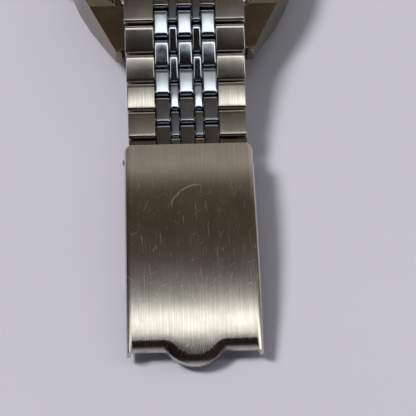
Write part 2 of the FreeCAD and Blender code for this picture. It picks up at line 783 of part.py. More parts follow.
def outer_columns(name, wide, narrow, width):
    """Two outer and two narrow links of a row of a given width."""
    outer_width = f"{width} / 2 - {OUTER_START}"
    return [
        column(name + "_outer_left", wide, f"-{width} / 2", outer_width),
        column(name + "_narrow_left", narrow, f"-{NARROW_START} - narrow_width", "narrow_width"),
        column(name + "_narrow_right", narrow, NARROW_START, "narrow_width"),
        column(name + "_outer_right", wide, OUTER_START, outer_width)]


def row_pin(name, width, far):
    """A pin pressed through the outer row at one of its pivots."""
    return across_cylinder(name, "pin_radius", f"{width} - 2 * pin_recess", f"-{HALF_PITCH}" if far else "0")


def make_link_family():
    """Side views shared by all rows, each with the bores of its pivots."""
    running_pin, running_bar = "pin_radius + running_fit", "bar_radius + running_fit"
    views = {}
    for place, near, far in (("plain", "square", "square"), ("lug", "round", "square"), ("end", "square", "round")):
        for kind, corner, rounded in (("wide", "link_chamfer", False), ("narrow", "link_edge_round", True)):
            view = link_profile(f"{kind}_{place}_view", corner, rounded, near, far)
            bore(view, False, running_bar if near == "round" else "pin_radius")
            bore(view, True, running_bar if far == "round" else "pin_radius")
            views[kind, place] = view
    middle = link_profile("middle_view", "middle_edge_round", True)
    bore(middle, False, running_pin)
    bore(middle, True, running_pin)
    lug_stub = link_profile("lug_stub_view", "middle_edge_round", True, "round", "cut")
    bore(lug_stub, False, running_bar)
    end_stub = link_profile("end_stub_view", "middle_edge_round", True, "cut", "round")
    bore(end_stub, True, running_bar)
    views["middle"], views["lug_stub"], views["end_stub"] = middle, lug_stub, end_stub
    return views


def make_half(letter, count, views, end_bar):
    """The rows of one half: odd rows are outer rows, even rows are middle rows.

    end_bar adds the half's own bar to its last row; otherwise the clasp's spring bar goes there.
    """
    middles = middle_columns(f"middle_{letter}", views["middle"])
    rows = []
    for number in range(1, count + 1):
        name = f"half_{letter}_row_{number:02d}"
        if number % 2 == 0:
            rows.append(row(name + "_middle", middles))
            continue
        place = "lug" if number == 1 else "end" if number == count else "plain"
        width = row_width((count - number) // 2)
        pieces = outer_columns(name, views["wide", place], views["narrow", place], width)
        if place == "lug":
            pieces += middle_columns(name + "_stub", views["lug_stub"])
        else:
            pieces.append(row_pin(name + "_near_pin", width, False))
        if place == "end":
            pieces += middle_columns(name + "_stub", views["end_stub"])
            if end_bar:
                pieces.append(across_cylinder(name + "_bar", "bar_radius", f"{width} - 2 * pin_recess", f"-{HALF_PITCH}"))
        else:
            pieces.append(row_pin(name + "_far_pin", width, True))
        rows.append(row(name + "_outer", pieces))
    return rows


def route_a():
    """The curve that half A's pivots follow, as a spline in the Y-Z plane.

    It climbs from the far bar, turns over the case back's edge, rides over the back and falls to the clasp.
    """
    bar_y, bar_z = worth(BAR_Y), worth(BAR_Z)
    back, edge = worth("head_thickness"), worth("back_radius")
    ride = back + worth(TOP) + worth("ride_gap")
    clasp_y, clasp_z = worth("clasp_bar_y"), worth("clasp_bar_z")
    points = [
        (bar_y, bar_z), (bar_y + 0.5, bar_z + 2.4), (bar_y - 1.1, bar_z + 5.6), (bar_y - 4.3, ride + 2.1),
        (bar_y - 9.0, ride + 1.7), (0.0, ride + 0.3), (-edge + 6.5, ride + 0.2), (-edge - 0.3, ride - 0.1),
        (-edge - 6.0, ride - 2.05), (clasp_y + 12.0, clasp_z + 2.06), (clasp_y + 4.8, clasp_z + 0.6),
        (clasp_y, clasp_z), (clasp_y - 14.0, clasp_z - 1.4)]
    curve = Part.BSplineCurve()
    curve.interpolate([Vector(0, y, z) for y, z in points])
    return curve


def walk(curve, count, step):
    """Points along a curve, each one step away from the last in a straight line."""
    spots = [curve.value(curve.FirstParameter)]
    low = curve.FirstParameter
    fine = (curve.LastParameter - curve.FirstParameter) / 4000
    while len(spots) <= count:
        high = low
        while (curve.value(high) - spots[-1]).Length < step:
            high += fine
        for _ in range(40):
            middle = (low + high) / 2
            if (curve.value(middle) - spots[-1]).Length < step:
                low = middle
            else:
                high = middle
        low = high
        spots.append(curve.value(high))
    return spots


def route_b(count, step):
    """Pivots of half B: it falls from the near bar to the table and lies flat there."""
    spots = [Vector(0, -worth(BAR_Y), worth(BAR_Z))]
    drop = spots[0].z - worth(TOP) - worth("flat_gap")
    low, high = 0.0, math.pi / 2
    for _ in range(50):
        fall = (low + high) / 2
        if step * (2 * math.sin(fall) + math.sin(fall / 2)) < drop:
            low = fall
        else:
            high = fall
    falls = [fall, fall, fall / 2] + [0.0] * (count - 3)
    for slope in falls:
        spots.append(spots[-1] + Vector(0, -math.cos(slope), -math.sin(slope)) * step)
    return spots


def lay_rows(rows, spots, outer_face_up):
    """Place each row with its nearer pivot on a spot and its other pivot on the next one."""
    for thing, start, end in zip(rows, spots, spots[1:]):
        heading = end - start
        turn = Rotation(ACROSS, math.degrees(math.atan2(-heading.z, -heading.y)))
        if not outer_face_up:
            turn = turn.multiply(Rotation(Vector(0, 1, 0), 180))
        thing.Placement = Placement(start, turn)


# ---------------------------------------------------------------------------------------------------------
# Clasp, made about the cover's spring bar: the bar's axis is the origin and the lip points to -Y
# ---------------------------------------------------------------------------------------------------------

FAR_EDGE = "cover_bar_inset"
LIP_EDGE = "(cover_bar_inset - cover_length)"
ARCH_Y = "(cover_bar_inset - cover_length / 2)"
ARCH_Z = "(cover_bar_drop - sqrt(cover_arch_radius ^ 2 - (cover_length / 2) ^ 2))"
LIP_MARGIN = "(lip_roll_radius * 0.2)"        # the part of the full roll that is cut away at the lip
TAB_ROUNDS = "((tab_half_width ^ 2 + tab_depth ^ 2) / (2 * tab_depth))"
TAB_ROUND = f"({TAB_ROUNDS} * (1 - flare_share))"
FLARE_ROUND = f"({TAB_ROUNDS} * flare_share)"
TAB_SIN = "(2 * tab_half_width * tab_depth / (tab_half_width ^ 2 + tab_depth ^ 2))"
TAB_COS = "((tab_half_width ^ 2 - tab_depth ^ 2) / (tab_half_width ^ 2 + tab_depth ^ 2))"


def arch_height(y, depth):
    """Height of the arch at a Y, a given depth below the cover's outer face."""
    return f"({ARCH_Z} + sqrt((cover_arch_radius - ({depth})) ^ 2 - ({y} - {ARCH_Y}) ^ 2))"


def arched_plate(name, far, near, above, below, width, start=None):
    """A plate that follows the cover's arch between two depths and two Y positions."""
    view = free_sketch(name + "_view")
    outline(view, [
        (near, arch_height(near, below)), (far, arch_height(far, below)),
        (far, arch_height(far, above)), (near, arch_height(near, above))],
        {0: (f"cover_arch_radius - ({below})", -1), 2: (f"cover_arch_radius - ({above})", 1)})
    plate = doc.addObject("Part::Extrusion", name)
    plate.Base = view
    plate.DirMode = "Normal"
    plate.Solid = True
    bind(plate, "LengthFwd", width)
    bind(plate, "Placement.Base.x", start if start else f"-({width}) / 2")
    return plate


def lip_plan(name, inset, far, side_inset="0"):
    """Plan of the cover with its scalloped lip, moved in from the finished outline by inset."""
    plan = doc.addObject("Sketcher::SketchObject", name + "_view")
    half = f"(cover_width / 2 - {side_inset})"
    lip = f"({LIP_EDGE} + {inset})"
    flare = f"({FLARE_ROUND} + {inset})"
    meet_x = f"(tab_half_width - {flare} * {TAB_SIN})"
    meet_y = f"({LIP_EDGE} - {FLARE_ROUND} + {flare} * {TAB_COS})"
    outline(plan, [
        (half, far), (f"-{half}", far), (f"-{half}", lip), ("-tab_half_width", lip), (f"-{meet_x}", meet_y),
        (meet_x, meet_y), ("tab_half_width", lip), (half, lip)],
        {3: (flare, -1), 4: (f"({TAB_ROUND} - {inset})", 1), 5: (flare, -1)})
    block = doc.addObject("Part::Extrusion", name)
    block.Base = plan
    block.DirMode = "Normal"
    block.Solid = True
    bind(block, "LengthFwd", "2 * cover_wall_depth")
    bind(block, "Placement.Base.z", "-cover_wall_depth")
    return block


def rolled_blank(name, far, inset, side_inset, depth, roll):
    """An arched block with the lip's plan and its top edge rolled over along the lip."""
    plan = lip_plan(name + "_plan", inset, far, side_inset)
    slab = arched_plate(name + "_slab", f"{FAR_EDGE} + 2", f"{LIP_EDGE} - tab_depth - 3", depth, "6",
                        f"(cover_width - 2 * {side_inset})")
    both = doc.addObject("Part::Common", name + "_block")
    both.Base = plan
    both.Tool = slab
    doc.recompute()
    limit = worth(f"{LIP_EDGE} + 1")
    top = worth("cover_bar_drop") - 1.9
    names = edges_where(both.Shape, lambda point: point.y < limit and point.z > top)
    rolled = doc.addObject("Part::Fillet", name)
    rolled.Base = both
    amount = worth(roll)
    rolled.Edges = [(int(edge[4:]), amount, amount) for edge in names]
    doc.recompute()
    return rolled


def eased_block():
    """The cover's outer form as a block, its long top edges and far corners rounded."""
    block = arched_plate("outer_form", FAR_EDGE, f"({LIP_EDGE} - tab_depth - 2)", "0", "6", "cover_width")
    doc.recompute()
    side, far, radius = worth("cover_width / 2"), worth(FAR_EDGE), worth("cover_arch_radius")
    middle = Vector(0, worth(ARCH_Y), worth(ARCH_Z))

    def is_outer(point):
        on_side = abs(abs(point.x) - side) < 0.001
        on_arch = abs(math.hypot(point.y - middle.y, point.z - middle.z) - radius) < 0.001
        return on_side and (on_arch or abs(point.y - far) < 0.001)

    names = edges_where(block.Shape, is_outer)
    eased = doc.addObject("Part::Fillet", "eased_form")
    eased.Base = block
    amount = worth("cover_edge_round")
    eased.Edges = [(int(edge[4:]), amount, amount) for edge in names]
    doc.recompute()
    return eased


def wall_end_cutter():
    """A wedge that makes the side walls shallower towards the lip."""
    start_y, end_y = f"({LIP_EDGE} + wall_end_run)", f"({LIP_EDGE} - 2 * wall_tip)"
    view = free_sketch("wall_end_view")
    outline(view, [
        (end_y, "-2 * cover_wall_depth"), (start_y, "-2 * cover_wall_depth"),
        (start_y, arch_height(start_y, "cover_wall_depth")), (end_y, arch_height(end_y, "wall_end_depth"))])
    wedge = doc.addObject("Part::Extrusion", "wall_end_wedge")
    wedge.Base = view
    wedge.DirMode = "Normal"
    wedge.Solid = True
    bind(wedge, "LengthFwd", "cover_width + 2")
    bind(wedge, "Placement.Base.x", "-cover_width / 2 - 1")
    return wedge


def make_cover():
    """The cover: an arched sheet with a rolled, scalloped lip and two bent-down side walls."""
    outside = rolled_blank("outer_blank", FAR_EDGE, f"(-{LIP_MARGIN})", "0", "0", "lip_roll_radius")
    inside = rolled_blank("inner_blank", f"{FAR_EDGE} + 1", f"(sheet_thickness - {LIP_MARGIN})", "sheet_thickness",
                          "sheet_thickness", "lip_roll_radius - sheet_thickness")
    shell = doc.addObject("Part::Cut", "shell")
    shell.Base = outside
    shell.Tool = inside
    keep = arched_plate("lip_depth", f"{FAR_EDGE} + 1", f"{LIP_EDGE} - tab_depth - 2", "-1", "lip_drop", "cover_width")
    plan = lip_plan("final_plan", "0", FAR_EDGE)
    trimmed = doc.addObject("Part::MultiCommon", "trimmed_shell")
    trimmed.Shapes = [shell, keep, plan]
    walls = []
    for name, start in (("left_wall", "-cover_width / 2"), ("right_wall", "cover_width / 2 - sheet_thickness")):
        walls.append(arched_plate(name, FAR_EDGE, f"({LIP_EDGE} - wall_tip)", "0", "cover_wall_depth",
                                  "sheet_thickness", start))
    joined = doc.addObject("Part::MultiFuse", "joined_cover")
    joined.Shapes = [trimmed] + walls
    eased = eased_block()
    rounded = doc.addObject("Part::MultiCommon", "rounded_cover")
    rounded.Shapes = [joined, eased]
    holes = [wall_end_cutter()]
    for number in range(4):
        holes.append(across_cylinder(f"adjust_hole_{number}", "bar_tip_radius", "cover_width + 2",
                                     f"-{number} * adjust_pitch"))
    holes.append(across_cylinder("lip_pin_hole", "clasp_pin_radius", "cover_width + 2", LIP_PIN_Y, LIP_PIN_Z))
    for name, start in (("left_notch", "-cover_width / 2 + sheet_thickness"),
                        ("right_notch", "cover_width / 2 - sheet_thickness - wall_notch")):
        notch = doc.addObject("Part::Box", name)
        bind(notch, "Length", "wall_notch")
        bind(notch, "Width", "2")
        bind(notch, "Height", "6")
        bind(notch, "Placement.Base.x", start)
        bind(notch, "Placement.Base.y", f"{LIP_EDGE} - 1.2")
        bind(notch, "Placement.Base.z", "-2")
        holes.append(notch)
    tools = doc.addObject("Part::MultiFuse", "cover_tools")
    tools.Shapes = holes
    cover = doc.addObject("Part::Cut", "clasp_cover")
    cover.Base = rounded
    cover.Tool = tools
    return node(cover, "clasp_cover")


LIP_PIN_Y = f"({LIP_EDGE} + lip_pin_inset)"
MID_PIN_Y = "(-mid_pin_inset)"
INNER_TOP = "(sheet_thickness + blade_gap)"
OUTER_TOP = f"({INNER_TOP} + blade_thickness + blade_gap / 2)"
BARREL_DEPTH = f"({INNER_TOP} + barrel_radius)"
LIP_PIN_Z = arch_height(LIP_PIN_Y, BARREL_DEPTH)
MID_PIN_Z = arch_height(MID_PIN_Y, BARREL_DEPTH)
HOOK_Y = f"({LIP_PIN_Y} + 4.2)"
HOOK_Z = arch_height(HOOK_Y, f"({OUTER_TOP} + hook_radius)")


def fused(name, pieces):
    """Several solids as one."""
    whole = doc.addObject("Part::MultiFuse", name)
    whole.Shapes = pieces
    return whole


def cut_from(name, base, tools):
    """A solid with a group of tools cut out of it."""
    result = doc.addObject("Part::Cut", name)
    result.Base = base
    result.Tool = tools if not isinstance(tools, list) else fused(name + "_tools", tools)
    return result


def make_blades():
    """Inner and outer blade: arched strips with hinge knuckles, folded flat under the cover."""
    knuckle = "(blade_width / 3)"
    clear = "(barrel_radius + 2 * running_fit)"
    bore = "clasp_pin_radius + running_fit"

    strip = arched_plate("inner_strip", MID_PIN_Y, LIP_PIN_Y, INNER_TOP, f"{INNER_TOP} + blade_thickness", "blade_width")
    lip_barrel = across_cylinder("lip_barrel", "barrel_radius", "blade_width", LIP_PIN_Y, LIP_PIN_Z)
    mid_barrel = across_cylinder("mid_barrel", "barrel_radius", knuckle, MID_PIN_Y, MID_PIN_Z)
    lip_bore = across_cylinder("lip_pin_bore", bore, "blade_width + 2", LIP_PIN_Y, LIP_PIN_Z)
    mid_bore = across_cylinder("mid_pin_seat", "clasp_pin_radius", "blade_width + 2", MID_PIN_Y, MID_PIN_Z)
    side_clear = []
    for side, start in (("left", "-blade_width / 2 - 1"), ("right", f"{knuckle} / 2")):
        side_clear.append(across_cylinder(f"inner_{side}_clearance", clear, f"{knuckle} + 1", MID_PIN_Y, MID_PIN_Z, start))
    inner = cut_from("inner_blade", fused("inner_whole", [strip, lip_barrel, mid_barrel]),
                     [lip_bore, mid_bore] + side_clear)
    node(inner, "inner_blade")

    strip = arched_plate("outer_strip", MID_PIN_Y, HOOK_Y, OUTER_TOP, f"{OUTER_TOP} + blade_thickness", "blade_width")
    knuckles = []
    for side, start in (("left", "-blade_width / 2"), ("right", f"{knuckle} / 2 + column_gap")):
        knuckles.append(across_cylinder(f"outer_{side}_knuckle", "barrel_radius", f"{knuckle} - column_gap",
                                        MID_PIN_Y, MID_PIN_Z, start))
    ring_out = across_cylinder("hook_ring", "hook_radius", "blade_width", HOOK_Y, HOOK_Z)
    ring_in = across_cylinder("hook_seat", "bar_radius + running_fit", "blade_width + 2", HOOK_Y, HOOK_Z)
    mouth = doc.addObject("Part::Box", "hook_mouth")
    bind(mouth, "Length", "blade_width + 2")
    bind(mouth, "Width", "2 * bar_radius * 0.85")
    bind(mouth, "Height", "3")
    bind(mouth, "Placement.Base.x", "-blade_width / 2 - 1")
    bind(mouth, "Placement.Base.y", f"{HOOK_Y} - bar_radius * 0.85")
    bind(mouth, "Placement.Base.z", f"{HOOK_Z} - 3")
    middle_clear = across_cylinder("outer_middle_clearance", clear, f"{knuckle} + 2 * column_gap", MID_PIN_Y, MID_PIN_Z)
    mid_bore = across_cylinder("outer_pin_bore", bore, "blade_width + 2", MID_PIN_Y, MID_PIN_Z)
    outer = cut_from("outer_blade", fused("outer_whole", [strip, ring_out] + knuckles),
                     [ring_in, mouth, middle_clear, mid_bore])
    node(outer, "outer_blade")
    lip_pin = across_cylinder("lip_pin_rod", "clasp_pin_radius", "cover_width - pin_recess", LIP_PIN_Y, LIP_PIN_Z)
    row("lip_hinge_pin", [lip_pin])
    mid_pin = across_cylinder("mid_pin_rod", "clasp_pin_radius", "blade_width - pin_recess", MID_PIN_Y, MID_PIN_Z)
    row("blade_hinge_pin", [mid_pin])


def lay_clasp(parts, spot):
    """Put the clasp on half A's last pivot, tilted, with the outer blade hanging open to the table."""
    doc.recompute()
    turn = Placement(spot, Rotation(ACROSS, worth("clasp_tilt")))
    for thing in parts:
        thing.Placement = turn.multiply(thing.Placement)
    pin = turn.multVec(Vector(0, worth(MID_PIN_Y), worth(MID_PIN_Z)))
    hook = turn.multVec(Vector(0, worth(HOOK_Y), worth(HOOK_Z)))
    arm = hook - pin
    drop = pin.z - worth("hook_radius + table_gap")
    opening = math.asin(drop / arm.Length) - math.atan2(-arm.z, -arm.y)
    blade = [thing for thing in parts if thing.Label == "outer_blade"][0]
    swing = Placement(Vector(), Rotation(ACROSS, math.degrees(opening)), pin)
    blade.Placement = swing.multiply(blade.Placement)


# ---------------------------------------------------------------------------------------------------------
# The whole watch
# ---------------------------------------------------------------------------------------------------------

def check_document():
    """Stop if any object of the document failed or any node's shape is empty or broken."""
    for thing in doc.Objects:
        if "Invalid" in thing.State or "Error" in thing.State:
            raise RuntimeError(f"{thing.Name} is {thing.State}")
    for thing in NODES:
        if thing.Shape.isNull() or not thing.Shape.isValid() or not thing.Shape.Solids:
            raise RuntimeError(f"{thing.Label} has no valid solid")


def export_nodes():
    """Write one STEP file per node."""
    os.makedirs("parts", exist_ok=True)
    for thing in NODES:
        thing.Shape.exportStep(f"parts/{thing.Label}.step")


make_case()
make_head_shells()
make_dial()
make_hands()
make_movement()
make_crown_and_stem()
make_lug_bars()
doc.recompute()

link_views = make_link_family()
rows_a = make_half("a", ROWS_A, link_views, end_bar=False)
rows_b = make_half("b", ROWS_B, link_views, end_bar=True)
doc.recompute()
step = worth(HALF_PITCH)
spots_a = walk(route_a(), ROWS_A, step)
spots_b = route_b(ROWS_B, step)
lay_rows(rows_a, spots_a, outer_face_up=True)
lay_rows(rows_b, spots_b, outer_face_up=False)

first_clasp_node = len(NODES)
make_cover()
make_blades()
node(spring_bar("clasp_spring_bar", "(cover_width - 2 * sheet_thickness)"), "clasp_spring_bar")
lay_clasp(NODES[first_clasp_node:], spots_a[-1])
doc.recompute()
check_document()
export_nodes()
print(f"{len(NODES)} nodes")
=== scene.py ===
"""Looks of a steel wristwatch that lies on its crystal, with its bracelet over the case back and its clasp in front."""

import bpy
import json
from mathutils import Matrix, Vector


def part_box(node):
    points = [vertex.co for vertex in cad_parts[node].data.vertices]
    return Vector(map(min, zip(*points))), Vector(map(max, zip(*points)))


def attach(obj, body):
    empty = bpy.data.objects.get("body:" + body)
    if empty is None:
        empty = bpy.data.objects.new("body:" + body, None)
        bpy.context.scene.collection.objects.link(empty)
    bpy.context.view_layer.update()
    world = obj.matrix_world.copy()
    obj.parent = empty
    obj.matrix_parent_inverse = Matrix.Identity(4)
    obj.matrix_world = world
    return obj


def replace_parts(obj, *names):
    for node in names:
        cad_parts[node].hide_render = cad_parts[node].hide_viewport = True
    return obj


bl_info = {
    "name": "Steel Wristwatch Looks",
    "version": (1, 0, 0),
    "blender": (4, 5, 0),
    "location": "View3D > Sidebar > Wristwatch",
    "description": "Gives the wristwatch its metals, glass, fine movement details and studio stage",
    "category": "Object",
}

import json
import math

import bmesh
import bpy
import numpy as np
from bpy.props import FloatProperty, FloatVectorProperty, IntProperty, PointerProperty
from mathutils import Matrix, Vector

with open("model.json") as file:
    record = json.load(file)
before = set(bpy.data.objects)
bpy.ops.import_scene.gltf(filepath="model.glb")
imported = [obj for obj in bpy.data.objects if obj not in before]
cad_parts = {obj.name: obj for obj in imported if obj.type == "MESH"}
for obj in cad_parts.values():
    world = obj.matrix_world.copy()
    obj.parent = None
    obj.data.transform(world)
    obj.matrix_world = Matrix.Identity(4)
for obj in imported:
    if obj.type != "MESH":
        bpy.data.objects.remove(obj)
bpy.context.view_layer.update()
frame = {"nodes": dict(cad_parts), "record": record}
NODES = frame["nodes"]

MM = 0.001
MICRON = 0.000001
BODY_OF = {name: body for body, names in frame["record"]["behaviour"]["bodies"].items() for name in names}
OUTER_ROWS = sorted(name for name in NODES if name.endswith("_outer"))
MIDDLE_ROWS = sorted(name for name in NODES if name.endswith("_middle"))

# Sizes below are in millimetres and angles in degrees. The cover's are about its spring bar.
COVER = {
    "tilt": 6.3, "half_width": 9.7, "sheet": 0.6, "far_y": 1.6, "lip_y": -31.8,
    "arch_y": -15.1, "arch_radius": 90.0, "arch_z": 2.6 - math.sqrt(90.0 ** 2 - 16.7 ** 2),
    "roll": 2.0, "roll_out": 0.8, "roll_up": 0.6, "lip_drop": 1.5,
    "tab_half": 4.6, "tab_depth": 2.1, "flare_share": 0.16,
    "edge_round": 0.8, "wall_depth": 3.9, "wall_end": 1.9, "wall_run": 6.0, "wall_tip": 0.45,
    "holes": 4, "hole": 0.45, "hole_pitch": 2.6, "pin_hole": 0.5, "pin_y": -28.4, "pin_depth": 1.8,
    "drill_reach": 12.0, "drill_ease": 0.05}
LINK = {
    "length": 4.6, "length_slack": 0.05, "height": 2.6, "wrist_round": 1.0, "round": 0.5, "crown": 60.0, "lean": 3.5,
    "middle_round": 0.55, "middle_crown": 180.0, "middle_lean": 0.9,
    "wide_from": 2.6, "wide_ease": 0.14, "slim_ease": 0.24,
    "pin": 0.5, "pin_spacing": 2.45, "pin_proud": 0.04, "pin_ease": 0.1}
DIAL = {
    "plate": 0.2, "marker_from": 0.18, "track_inner": 1.15, "track_outer": 0.55, "tick_width": 0.12,
    "tick_height": 0.03, "tick_sunk": 0.02, "ticks": 60, "ticks_per_marker": 5}
HAIRSPRING = {"height": 0.12, "inner_share": 0.16, "outer_share": 0.6}
LONG_SCRATCH = {             # its arc's centre from the cover's middle and far edge, and where it fades out
    "aside": 1.4, "down": 12.4, "radius": 4.45, "waver": 0.5, "core": 0.02, "fade": 0.1,
    "right_from": 0.6, "right_to": -0.4, "low_from": -0.2, "low_to": 1.0}
SCRATCH_TONE, SCRATCH_ROUGH = 0.6, 0.22
SHORT_SCRATCHES = (          # turn, width, length and the noise level above which one shows
    (-24, 0.06, 3.0, 0.735), (52, 0.06, 2.2, 0.75), (3, 0.06, 5.0, 0.72), (-63, 0.06, 2.4, 0.74))
CRISP_CAD, CRISP_SHAPED = 24.0, 30.0
DOUBLES, FLAT_WEIGHT = 0.0005, 60
SLIVER, LEVEL_ACROSS = 1e-12, 0.02       # least square metres of a triangle that counts, and most lean towards X
POINTS = {                   # how many points each stretch of a shape has, and the degrees between a circle's
    "link_corner": 6, "link_crown": 11, "lip_straight": 7, "lip_hollow": 7, "lip_tab": 15,
    "arch": 33, "roll_outside": 12, "roll_inside": 9, "wall_bend": 7, "wall_corner": 7, "wall": 36,
    "spring_turn": 90, "pin_degrees": 20, "hole_degrees": 15}
ROOM = (                     # tones from in front of the watch (0) over the ceiling (0.5) to behind it (1)
    (0.00, "#727070"), (0.05, "#2A2624"), (0.12, "#191413"), (0.480, "#191413"), (0.490, "#FFFFF8"),
    (0.527, "#FFFFF6"), (0.542, "#7E7E78"), (0.585, "#53524E"), (0.63, "#3B3530"), (0.69, "#332A21"),
    (0.777, "#362D23"), (0.798, "#524B44"), (0.822, "#837C73"), (0.85, "#655F57"), (1.00, "#989799"))
KEY_WAY, KEY_TINT = (-0.22, 0.02, 0.36), "#FFFAF4"
FILL_WAY, FILL_TINT, FILL_SIZE = (0.02, -0.38, 0.30), "#F2F4FF", 0.30


def srgb(code):
    """Linear RGBA of an sRGB hex colour."""
    values = [int(code[i:i + 2], 16) / 255 for i in (1, 3, 5)]
    linear = [v / 12.92 if v <= 0.04045 else ((v + 0.055) / 1.055) ** 2.4 for v in values]
    return (*linear, 1.0)


def opaque(colour, shade=1.0):
    """RGBA of a linear RGB colour, darkened to a share of itself."""
    return (*(value * shade for value in colour[:3]), 1.0)


def centre(node):
    """Middle of a CAD node's box."""
    low, high = (Vector(corner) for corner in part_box(node))
    return (low + high) / 2


# ---------------------------------------------------------------------------------------------------------
# Shader nodes and materials
# ---------------------------------------------------------------------------------------------------------

def add_node(tree, kind, settings=None, links=None):
    """Add a node with its settings and links.

    A key that is a number or starts with a capital is a socket, and any other is the node's own setting. A link
    comes from a socket or from a node's first output.
    """
    node = tree.nodes.new(kind)
    plain = {key: value for key, value in (settings or {}).items() if isinstance(key, str) and key[0].islower()}
    for key, value in plain.items():
        setattr(node, key, value)
    for key, value in (settings or {}).items():
        if key not in plain:
            node.inputs[key].default_value = value
    for key, source in (links or {}).items():
        tree.links.new(getattr(source, "outputs", [source])[0], node.inputs[key])
    return node


def blank_material(name):
    """A material, its empty tree, and the place on the object that its patterns follow."""
    material = bpy.data.materials.new(name)
    material.use_nodes = True
    tree = material.node_tree
    tree.nodes.clear()
    return material, tree, add_node(tree, "ShaderNodeTexCoord").outputs["Object"]


def colour_steps(ramp, stops):
    """Set a Color Ramp's stops from (place, sRGB hex) pairs."""
    elements = ramp.color_ramp.elements
    for place, code in stops[1:-1]:
        elements.new(place).color = srgb(code)
    for element, (place, code) in ((elements[0], stops[0]), (elements[-1], stops[-1])):
        element.position, element.color = place, srgb(code)


def drawn_steel(name, light, dark, rough, streak_mm, run_mm, relief_um, across=0):
    """Stainless steel sheet or bar, brushed along one direction.

    Belt grinding leaves fine parallel lines, so a highlight spreads across them and breaks into bright and dark
    streaks. The grit's real lines are about 0.03 mm wide; streak_mm draws them wider so that they show.
    across is the axis (0 is X) that the lines are narrow along; they run_mm along the other two. Patches of handling,
    about 4 mm across, vary the gloss.
    """
    material, tree, place = blank_material(name)
    scale = [1 / (run_mm * MM)] * 3
    scale[across] = 1 / (streak_mm * MM)
    stretched = add_node(tree, "ShaderNodeMapping", {"Scale": scale}, {"Vector": place})
    fine = add_node(tree, "ShaderNodeTexNoise", {"Scale": 1.0, "Detail": 5.0, "Roughness": 0.65}, {"Vector": stretched})
    broad = add_node(tree, "ShaderNodeTexNoise", {"Scale": 260.0, "Detail": 3.0}, {"Vector": place})
    tone = add_node(tree, "ShaderNodeMix", {"data_type": "RGBA", 6: dark, 7: light}, {0: fine})
    worn = add_node(tree, "ShaderNodeMapRange",
                    {"From Min": 0.3, "From Max": 0.7, "To Min": rough * 0.82, "To Max": rough * 1.2}, {"Value": broad})
    lines = add_node(tree, "ShaderNodeBump", {"Strength": 0.55, "Distance": relief_um * MICRON}, {"Height": fine})
    steel = add_node(tree, "ShaderNodeBsdfPrincipled", {"Metallic": 1.0},
                     {"Base Color": tone.outputs[2], "Roughness": worn, "Normal": lines})
    add_node(tree, "ShaderNodeOutputMaterial", None, {0: steel})
    return material, tree, steel, place


def buffed_steel(name, light, dark, rough):
    """Stainless steel polished on a wheel: near mirror, with faint hairlines and smudges from wear.

    Real hairlines are under 0.01 mm wide; they are drawn 0.11 mm wide and 1.1 mm long so that they show. A smudge
    is about 2.4 mm across.
    """
    material, tree, place = blank_material(name)
    smudge = add_node(tree, "ShaderNodeTexNoise", {"Scale": 420.0, "Detail": 4.0, "Roughness": 0.6}, {"Vector": place})
    stretched = add_node(tree, "ShaderNodeMapping", {"Scale": (9000.0, 900.0, 900.0)}, {"Vector": place})
    hairline = add_node(tree, "ShaderNodeTexNoise", {"Scale": 1.0, "Detail": 3.0}, {"Vector": stretched})
    tone = add_node(tree, "ShaderNodeMix", {"data_type": "RGBA", 6: dark, 7: light}, {0: smudge})
    haze = add_node(tree, "ShaderNodeMapRange",
                    {"From Min": 0.35, "From Max": 0.7, "To Min": rough, "To Max": rough * 2.2}, {"Value": smudge})
    relief = add_node(tree, "ShaderNodeBump", {"Strength": 0.12, "Distance": 4.0 * MICRON}, {"Height": hairline})
    steel = add_node(tree, "ShaderNodeBsdfPrincipled", {"Metallic": 1.0},
                     {"Base Color": tone.outputs[2], "Roughness": haze, "Normal": relief})
    add_node(tree, "ShaderNodeOutputMaterial", None, {0: steel})
    return material


def scratches(tree, place, turn, width_mm, run_mm, rarity):
    """Mask of short straight scratches: noise drawn out along one direction, of which only the peaks are kept."""
    drawn = add_node(tree, "ShaderNodeMapping", {"vector_type": "TEXTURE", "Rotation": (0, 0, math.radians(turn)),
                                                 "Scale": (width_mm * MM, run_mm * MM, run_mm * MM)}, {"Vector": place})
    peaks = add_node(tree, "ShaderNodeTexNoise", {"Scale": 1.0, "Detail": 1.0}, {"Vector": drawn})
    return add_node(tree, "ShaderNodeMapRange", {"From Min": rarity, "From Max": rarity + 0.05}, {"Value": peaks})


